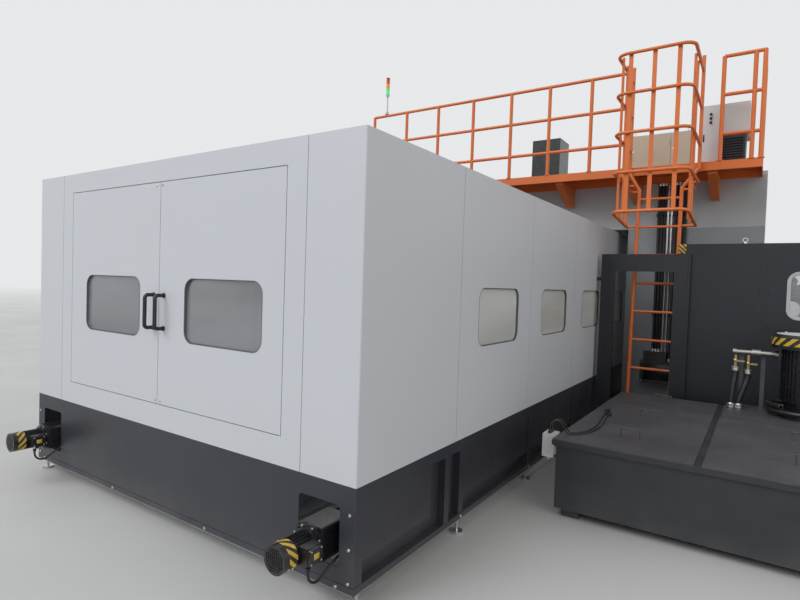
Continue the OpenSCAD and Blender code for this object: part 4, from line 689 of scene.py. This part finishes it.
hoses = [makeDrop(name, points) for name, points in drops.items()]
coilPoints = []
for k in range(coilLook["steps"] + 1):
    turn = math.radians(coilLook["first"] + 360 * k / coilLook["turnSteps"])
    coilPoints.append((pumpLook["x"] + coilLook["bend"] * math.cos(turn),
                       pumpLook["y"] + coilLook["bend"] * math.sin(turn),
                       coilLook["low"] + coilLook["rise"] * k / coilLook["turnSteps"]))
coilRoute = smoothRoute(coilPoints, 4)
coil = makeCord("coolantCoil", coilRoute, coilLook["radius"], 24)
coupling = turnedPart([(0.0206, -0.050), (0.0235, -0.046), (0.0235, -0.006), (0.0225, 0.0), (0.017, 0.001),
                       (0.017, 0.012), (0.0225, 0.013), (0.0225, 0.034), (0.018, 0.036), (0.013, 0.036),
                       (0.013, 0.002)], 32)
parts = []
put(parts, coupling, finishes["black_handle"],
    [aimed(coilRoute[0], coilRoute[0] - coilRoute[1]), aimed(coilRoute[-1], coilRoute[-1] - coilRoute[-2])])
coilEnds = makePiece("coolantCoilEnds", parts)
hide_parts("coolant_hoses")
for hose, route, ends in hoses:
    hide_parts("coolant_hoses")
print("coolant hoses made")


# motor cables, from their glands round under the motors and back into the ports

cableLook = dict(radius=0.0065, glandX=0.088, glandY=-6.662, glandZ=0.2598, straightZ=0.243, bend=0.056,
                 bendY=-6.606, bendZ=0.2265, drift=0.008, firstTurn=180, turnStep=25, turnSteps=5,
                 rise=[(0.100, -6.530, 0.2105), (0.104, -6.480, 0.2345), (0.105, -6.420, 0.2500),
                       (0.102, -6.3545, 0.2598)])


def makeMotorCable(name, side):
    look = cableLook
    # straight down from the gland, round a bend of four diameters, then up into the port
    points = [(look["glandX"], look["glandY"], height) for height in (look["glandZ"], look["straightZ"])]
    for k in range(look["turnSteps"] + 1):
        turn = math.radians(look["firstTurn"] + look["turnStep"] * k)
        points.append((look["glandX"] + look["drift"] * k / look["turnSteps"],
                       look["bendY"] + look["bend"] * math.cos(turn),
                       look["bendZ"] + look["bend"] * math.sin(turn)))
    shift = Vector((side * motorLook["axisX"], 0, 0))
    points = [shift + Vector(point) for point in points + look["rise"]]
    route = smoothRoute(points, 8)
    cable = makeCord(name, route, look["radius"], 16)
    parts = []
    sleeve = [(0.0068, -0.024), (0.0085, -0.022), (0.0105, -0.006),
              (0.0125, -0.004), (0.0125, 0.0), (0.0068, 0.0)]
    put(parts, turnedPart(sleeve, 24, ring=True), finishes["black_handle"], [facing("up", points[0])])
    relief = makePiece(name + "Relief", parts)
    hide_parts("motor_cables")


makeMotorCable("motorCableRight", 1)
makeMotorCable("motorCableLeft", -1)
print("motor cables made")


# float switch box: lid screws, raised ribs, glands and the two leads that cross the tank's lid

floatLook = dict(face=-4.72, screwsX=(1.933, 2.003), screwsZ=(0.41, 0.545),
                 ribs=4, ribX=1.945, ribPitch=0.0135, ribWide=0.006, ribLow=0.43, ribHigh=0.525,
                 ribFront=-4.7222, ribBack=-4.7198, glandX=1.968, glandY=-4.69, glandPitch=0.05, top=0.56)
leadLook = dict(radius=0.005, exit=0.588, straight=0.597, riseZ=0.606, bend=0.045, reach=0.1535, lid=0.5532,
                heading=(0.8, 0.6), socketFoot=0.5478, socketTop=0.572, socketHalf=0.018, socketDepth=0.05)
leadEnd = [(0.0052, -0.022), (0.0075, -0.020), (0.0095, -0.006), (0.0095, 0.002), (0.004, 0.002)]

parts = []
for k in range(floatLook["ribs"]):
    left = floatLook["ribX"] + floatLook["ribPitch"] * k
    put(parts, blockPart((left, floatLook["ribFront"], floatLook["ribLow"]),
                         (left + floatLook["ribWide"], floatLook["ribBack"], floatLook["ribHigh"]), 0.0008),
        finishes["cabinet_white"])
put(parts, screwPart(0.004, 0.003), zincScrew,
    [facing("front", (x, floatLook["face"], z)) for x in floatLook["screwsX"] for z in floatLook["screwsZ"]])
put(parts, turnedPart([(0.012, 0), (0.012, 0.006), (0.0135, 0.007), (0.0135, 0.014), (0.0105, 0.017),
                       (0.0085, 0.028), (0.0054, 0.030)], 24), finishes["black_handle"],
    [facing("up", (floatLook["glandX"], floatLook["glandY"] + floatLook["glandPitch"] * k, floatLook["top"]))
     for k in (0, 1)])
makePiece("floatBoxTrim", parts)


def makeLead(name, gland, run):
    # up out of the gland, over in a bend of four diameters and down on the lid, then along it
    look = leadLook
    bend, lid = look["bend"], look["lid"]
    side = [(0, look["exit"]), (0, look["straight"])]
    for turn in range(180, 0, -30):
        across, up = bend * math.cos(math.radians(turn)), bend * math.sin(math.radians(turn))
        side.append((bend + across, look["riseZ"] + up))
    for turn in range(60, -20, -20):
        across, up = bend * math.sin(math.radians(turn)), bend * math.cos(math.radians(turn))
        side.append((look["reach"] - across, lid + bend - up))
    startY = floatLook["glandY"] + floatLook["glandPitch"] * gland
    points = [(floatLook["glandX"] + look["heading"][0] * reach, startY + look["heading"][1] * reach, height)
              for reach, height in side]
    route = smoothRoute(points + [(x, y, lid) for x, y in run], 6)
    lead = makeCord(name, route, look["radius"], 12)
    end = route[-1]
    parts = []
    put(parts, turnedPart(leadEnd, 20), finishes["black_handle"], [aimed(end, end - route[-2])])
    put(parts, blockPart((end.x - look["socketHalf"], end.y, look["socketFoot"]),
                         (end.x + look["socketHalf"], end.y + look["socketDepth"], look["socketTop"]), 0.003),
        finishes["black_handle"])
    socket = makePiece(name + "Socket", parts)


makeLead("floatLeadNear", 0, [(2.130, -4.560), (2.172, -4.480), (2.198, -4.370), (2.205, -4.240),
                              (2.198, -4.100), (2.180, -3.960), (2.170, -3.880), (2.166, -3.800)])
makeLead("floatLeadFar", 1, [(2.118, -4.515), (2.148, -4.450), (2.168, -4.360), (2.174, -4.240),
                             (2.166, -4.100), (2.146, -3.940), (2.130, -3.780), (2.122, -3.660)])
print("float switch leads made")


# hose ends over the junction box, and clips on the conduits

bundleLook = dict(y=-1.324, top=2.9015, lift=0.0005, conduitsX=(2.204, 2.243),
                  clipsZ=(0.90, 1.32, 1.92, 2.52, 2.84))
hoseEnds = [(2.105, 0.032, 0.870), (2.139, 0.032, 0.870), (2.171, 0.026, 0.870), (2.285, 0.032, 0.762),
            (2.319, 0.026, 0.762), (2.355, 0.026, 0.762), (2.390, 0.032, 0.762)]  # x, hose width, lower end
clipRing = [(0.0118, 0), (0.0150, 0.0015), (0.0150, 0.0235), (0.0118, 0.025)]
junctionBox = dict(face=-1.42, screwsX=(2.000, 2.410), screwsZ=(0.515, 0.745),
                   lidLow=(2.022, -1.4215, 0.535), lidHigh=(2.388, -1.4198, 0.725))

parts = []
for x, width, low in hoseEnds:
    inner = width / 2 + 0.0003
    wide = inner + 0.0035 if width > 0.03 else inner + 0.003
    put(parts, turnedPart([(inner, 0), (wide, 0), (wide, 0.018), (wide - 0.001, 0.021), (wide - 0.001, 0.030),
                           (inner + 0.001, 0.034), (inner, 0.034)], 24, ring=True), zincScrew,
        [facing("up", (x, bundleLook["y"], low + bundleLook["lift"])),
         facing("down", (x, bundleLook["y"], bundleLook["top"]))])
put(parts, turnedPart(clipRing, 24, ring=True), zincScrew,
    [facing("up", (x, bundleLook["y"], z)) for x in bundleLook["conduitsX"] for z in bundleLook["clipsZ"]])
makePiece("hoseCollars", parts)
parts = []
put(parts, screwPart(0.006, 0.004), zincScrew,
    [facing("front", (x, junctionBox["face"], z))
     for x in junctionBox["screwsX"] for z in junctionBox["screwsZ"]])
put(parts, blockPart(junctionBox["lidLow"], junctionBox["lidHigh"], 0.0008), finishes["black_enamel"])
makePiece("junctionBoxLid", parts)
print("hose collars made")


# walkway: collars with bolts round the feet of the railing's posts

postLook = dict(y=-1.877, deck=2.9952, boltShift=0.029, boltFoot=3.0002,
                postsX=(-1.812, -1.230, -0.700, -0.157, 0.386, 0.892, 1.400, 1.796, 2.748, 3.027, 3.107))
postCollar = [(0.0206, 0), (0.036, 0), (0.036, 0.005), (0.026, 0.0065), (0.0206, 0.012)]

parts = []
put(parts, turnedPart(postCollar, 28, ring=True), finishes["orange"],
    [facing("up", (x, postLook["y"], postLook["deck"])) for x in postLook["postsX"]])
put(parts, hexPart(0.0052, 0.0045), zincScrew,
    [facing("up", (x + shift, postLook["y"], postLook["boltFoot"])) for x in postLook["postsX"]
     for shift in (-postLook["boltShift"], postLook["boltShift"])])
makePiece("railCollars", parts)


# cabinets: lamp caps, hinges, a lock handle, locks, cable glands and eye bolts

driveLook = dict(capX=2.625, capY=-1.610, capsZ=(3.485, 3.531, 3.577), hingeX=2.7215, hingeY=-1.6035,
                 hingesZ=(3.10, 3.58), handleLow=(2.556, -1.607, 3.28), handleHigh=(2.570, -1.5995, 3.36),
                 side=2.7300, glandY=-1.56, glandsZ=(3.085, 3.155, 3.225))
controlLook = dict(doors=3, left=1.705, pitch=0.23, hingeX=0.2215, hingeY=-1.1045, hingesZ=(3.10, 3.45),
                   lockX=0.030, face=-1.1, lockZ=3.36, eyesX=(1.74, 2.36), eyesY=(-1.06, -0.78), roof=3.56,
                   ringRise=0.027, ring=0.017, bar=0.0045)

parts = []
put(parts, turnedPart([(0.0145, 0), (0.0145, 0.004), (0.0125, 0.006), (0.0115, 0.013), (0.009, 0.0155),
                       (0.004, 0.0165)], 24), finishes["black_handle"],
    [facing("front", (driveLook["capX"], driveLook["capY"], z)) for z in driveLook["capsZ"]])
put(parts, turnedPart([(0.006, -0.03), (0.006, 0.03)], 16), zincScrew,
    [facing("up", (driveLook["hingeX"], driveLook["hingeY"], z)) for z in driveLook["hingesZ"]])
put(parts, blockPart(driveLook["handleLow"], driveLook["handleHigh"], 0.002), finishes["black_handle"])
put(parts, turnedPart([(0.017, 0), (0.019, 0.003), (0.019, 0.014), (0.013, 0.018), (0.013, 0.0135)], 20),
    finishes["black_handle"],
    [facing("right", (driveLook["side"], driveLook["glandY"], z)) for z in driveLook["glandsZ"]])
makePiece("driveCabinetTrim", parts)
parts = []
doorLefts = [controlLook["left"] + controlLook["pitch"] * k for k in range(controlLook["doors"])]
put(parts, turnedPart([(0.007, -0.028), (0.007, 0.028)], 16), finishes["beige"],
    [facing("up", (left + controlLook["hingeX"], controlLook["hingeY"], z))
     for left in doorLefts for z in controlLook["hingesZ"]])
put(parts, turnedPart([(0.011, 0), (0.011, 0.002), (0.0085, 0.003), (0.0085, 0.0045)], 20), zincScrew,
    [facing("front", (left + controlLook["lockX"], controlLook["face"], controlLook["lockZ"]))
     for left in doorLefts])
eyeSpots = [(x, y, controlLook["roof"]) for x in controlLook["eyesX"] for y in controlLook["eyesY"]]
put(parts, turnedPart([(0.016, 0), (0.016, 0.005), (0.009, 0.007), (0.009, 0.012)], 24), zincScrew,
    [facing("up", spot) for spot in eyeSpots])
put(parts, loopPart(controlLook["ring"], controlLook["bar"], 18, 10), zincScrew,
    [Matrix.Translation((x, y, z + controlLook["ringRise"])) for x, y, z in eyeSpots])
makePiece("controlCabinetTrim", parts)
print("walkway and cabinet trim made")


# lifting eyes on the magazine's roof and the bridge, and cover plates on the columns

eyeLook = dict(magazineX=(3.02, 4.40), magazineY=(-2.08, -1.42), magazineRoof=2.0999, magazineSize=0.026,
               bridgeX=(-2.95, 2.2), bridgeY=(-0.55, 0.10), bridgeTop=2.9899, bridgeSize=0.042)
coverLook = dict(thick=0.004, screwInset=0.02, screwFoot=0.0038,
                 outerFace=3.1749, outerY=-0.5, outerZ=(0.55, 1.55), outerSize=(0.62, 0.42),
                 rearX=2.45, rearFace=0.2999, rearZ=1.9, rearSize=(0.5, 0.34))


def putEyes(parts, spots, size):
    foot = [(size, 0), (size, size * 0.25), (size * 0.6, size * 0.4), (size * 0.5, size * 0.9)]
    put(parts, turnedPart(foot, 28), zincScrew, [facing("up", spot) for spot in spots])
    put(parts, loopPart(size * 0.8, size * 0.24, 20, 12), zincScrew,
        [Matrix.Translation((x, y, z + size * 1.55)) for x, y, z in spots])


def putCovers(parts, places, size):
    wide, tall = size[0] / 2, size[1] / 2
    inset, foot = coverLook["screwInset"], coverLook["screwFoot"]
    plate = blockPart((-wide, -tall, 0), (wide, tall, coverLook["thick"]), 0.0015)
    put(parts, plate, finishes["bridge_grey"], places)
    put(parts, screwPart(0.007, 0.004), zincScrew,
        [place @ Matrix.Translation((u * (wide - inset), v * (tall - inset), foot))
         for place in places for u in (-1, 0, 1) for v in (-1, 1)])


parts = []
putEyes(parts, [(x, y, eyeLook["magazineRoof"]) for x in eyeLook["magazineX"] for y in eyeLook["magazineY"]],
        eyeLook["magazineSize"])
putEyes(parts, [(x, y, eyeLook["bridgeTop"]) for x in eyeLook["bridgeX"] for y in eyeLook["bridgeY"]],
        eyeLook["bridgeSize"])
makePiece("liftingEyes", parts)
parts = []
putCovers(parts, [facing(side, (sign * coverLook["outerFace"], coverLook["outerY"], z))
                  for z in coverLook["outerZ"] for sign, side in ((1, "right"), (-1, "left"))],
          coverLook["outerSize"])
putCovers(parts, [facing("rear", (sign * coverLook["rearX"], coverLook["rearFace"], coverLook["rearZ"]))
                  for sign in (-1, 1)], coverLook["rearSize"])
makePiece("columnCovers", parts)


# screws of the dark frame in front of the ladder

gateLook = dict(face=-2.24, postsX=(1.70, 1.81, 2.43, 2.545), postsZ=(0.30, 0.95, 1.60),
                headX=(1.93, 2.12, 2.31), headZ=1.90)

parts = []
put(parts, screwPart(0.008, 0.0045), finishes["gate_dark"],
    [facing("front", (x, gateLook["face"], z)) for x in gateLook["postsX"] for z in gateLook["postsZ"]]
    + [facing("front", (x, gateLook["face"], gateLook["headZ"])) for x in gateLook["headX"]])
makePiece("gateScrews", parts)
print("eyes, covers and screws made")


# stage: floor, world, lamps and the photograph's camera

stageLook = dict(floorSize=600, floorTop=-0.0005, floorColour=(0.60, 0.595, 0.58, 1),
                 backTone=(0.80, 0.81, 0.82, 1), fadeStart=16.0, fadeEnd=60.0,
                 worldLevel=0.44, worldTint=(0.95, 0.97, 1.0, 1), sunHeight=20,
                 keyFrom=(-0.45, -0.80, 0.80), keyLevel=1.55, keyTint=(0.95, 0.97, 1.0), keySoftness=40,
                 fillFrom=(0.95, -0.30, 0.50), fillLevel=0.62, fillTint=(1.0, 0.985, 0.92), fillSoftness=60)
cameraLook = dict(place=(3.1958, -8.5101, 1.6), yaw=33.829, pitch=-1.796, roll=1.891, lens=24.378,
                  sensor=36, farClip=500)


def seenDirectly(tree):
    # 1 for camera, mirror and glass rays, 0 for the light that falls on the object
    path = tree.nodes.new("ShaderNodeLightPath")
    total = path.outputs["Is Camera Ray"]
    for name in ("Is Glossy Ray", "Is Transmission Ray"):
        both = tree.nodes.new("ShaderNodeMath")
        both.operation = "MAXIMUM"
        tree.links.new(total, both.inputs[0])
        tree.links.new(path.outputs[name], both.inputs[1])
        total = both.outputs["Value"]
    return total


def makeWorld(look):
    world = bpy.data.worlds.new("softWorld")
    bpy.context.scene.world = world
    world.use_nodes = True
    tree = world.node_tree
    lit = tree.nodes["Background"]
    lit.inputs["Color"].default_value = look["worldTint"]
    lit.inputs["Strength"].default_value = look["worldLevel"]
    seen = tree.nodes.new("ShaderNodeBackground")
    seen.inputs["Color"].default_value = look["backTone"]
    mix = tree.nodes.new("ShaderNodeMixShader")
    tree.links.new(seenDirectly(tree), mix.inputs["Fac"])
    tree.links.new(lit.outputs["Background"], mix.inputs[1])
    tree.links.new(seen.outputs["Background"], mix.inputs[2])
    tree.links.new(mix.outputs["Shader"], tree.nodes["World Output"].inputs["Surface"])


def makeFloor(look):
    bpy.ops.object.select_all(action="DESELECT")
    bpy.ops.mesh.primitive_plane_add(size=look["floorSize"], location=(0, 0, look["floorTop"]))
    floor = bpy.context.active_object
    floor.name = "floor"
    material, shader = newMaterial("paleConcrete")
    place = objectPlace(material)
    connect(material, shaded(material, place, look["floorColour"], 0.05, 0.5), shader.inputs["Base Color"])
    rough = spread(material, noise(material, place, 0.8, 5.0), 0.3, 0.7, 0.42, 0.62)
    connect(material, rough, shader.inputs["Roughness"])
    # far off the floor fades into the backdrop's tone, by its distance from the object
    reach = addNode(material, "ShaderNodeVectorMath", {0: place}, operation="LENGTH").outputs["Value"]
    far = spread(material, reach, look["fadeStart"], look["fadeEnd"], 0.0, 1.0)
    glow = addNode(material, "ShaderNodeEmission", {"Color": look["backTone"]})
    mix = addNode(material, "ShaderNodeMixShader", {
        0: multiply(material, far, seenDirectly(material.node_tree)),
        1: shader.outputs["BSDF"], 2: glow.outputs["Emission"]})
    connect(material, mix.outputs["Shader"], material.node_tree.nodes["Material Output"].inputs["Surface"])
    floor.data.materials.append(material)


def makeSun(name, fromWhere, level, tint, softness):
    bpy.ops.object.select_all(action="DESELECT")
    bpy.ops.object.light_add(type="SUN", location=(0, 0, stageLook["sunHeight"]))
    sun = bpy.context.active_object
    sun.name = name
    sun.data.energy = level
    sun.data.color = tint
    sun.data.angle = math.radians(softness)
    sun.rotation_euler = Vector(fromWhere).to_track_quat("Z", "Y").to_euler()


def makeCamera(look):
    bpy.ops.object.camera_add()
    camera = bpy.context.active_object
    camera.name = "photoCamera"
    turn = (Matrix.Rotation(math.radians(look["yaw"]), 4, "Z")
            @ Matrix.Rotation(math.radians(90 + look["pitch"]), 4, "X")
            @ Matrix.Rotation(math.radians(look["roll"]), 4, "Z"))
    camera.matrix_world = Matrix.Translation(look["place"]) @ turn
    camera.data.sensor_width = look["sensor"]
    camera.data.lens = look["lens"]
    camera.data.clip_end = look["farClip"]
    bpy.context.scene.camera = camera


makeWorld(stageLook)
makeFloor(stageLook)
for name in ("key", "fill"):
    makeSun(name + "Sun", *(stageLook[name + value] for value in ("From", "Level", "Tint", "Softness")))
makeCamera(cameraLook)
bpy.context.scene.view_settings.view_transform = "Standard"
print("stage, lamps and camera set")
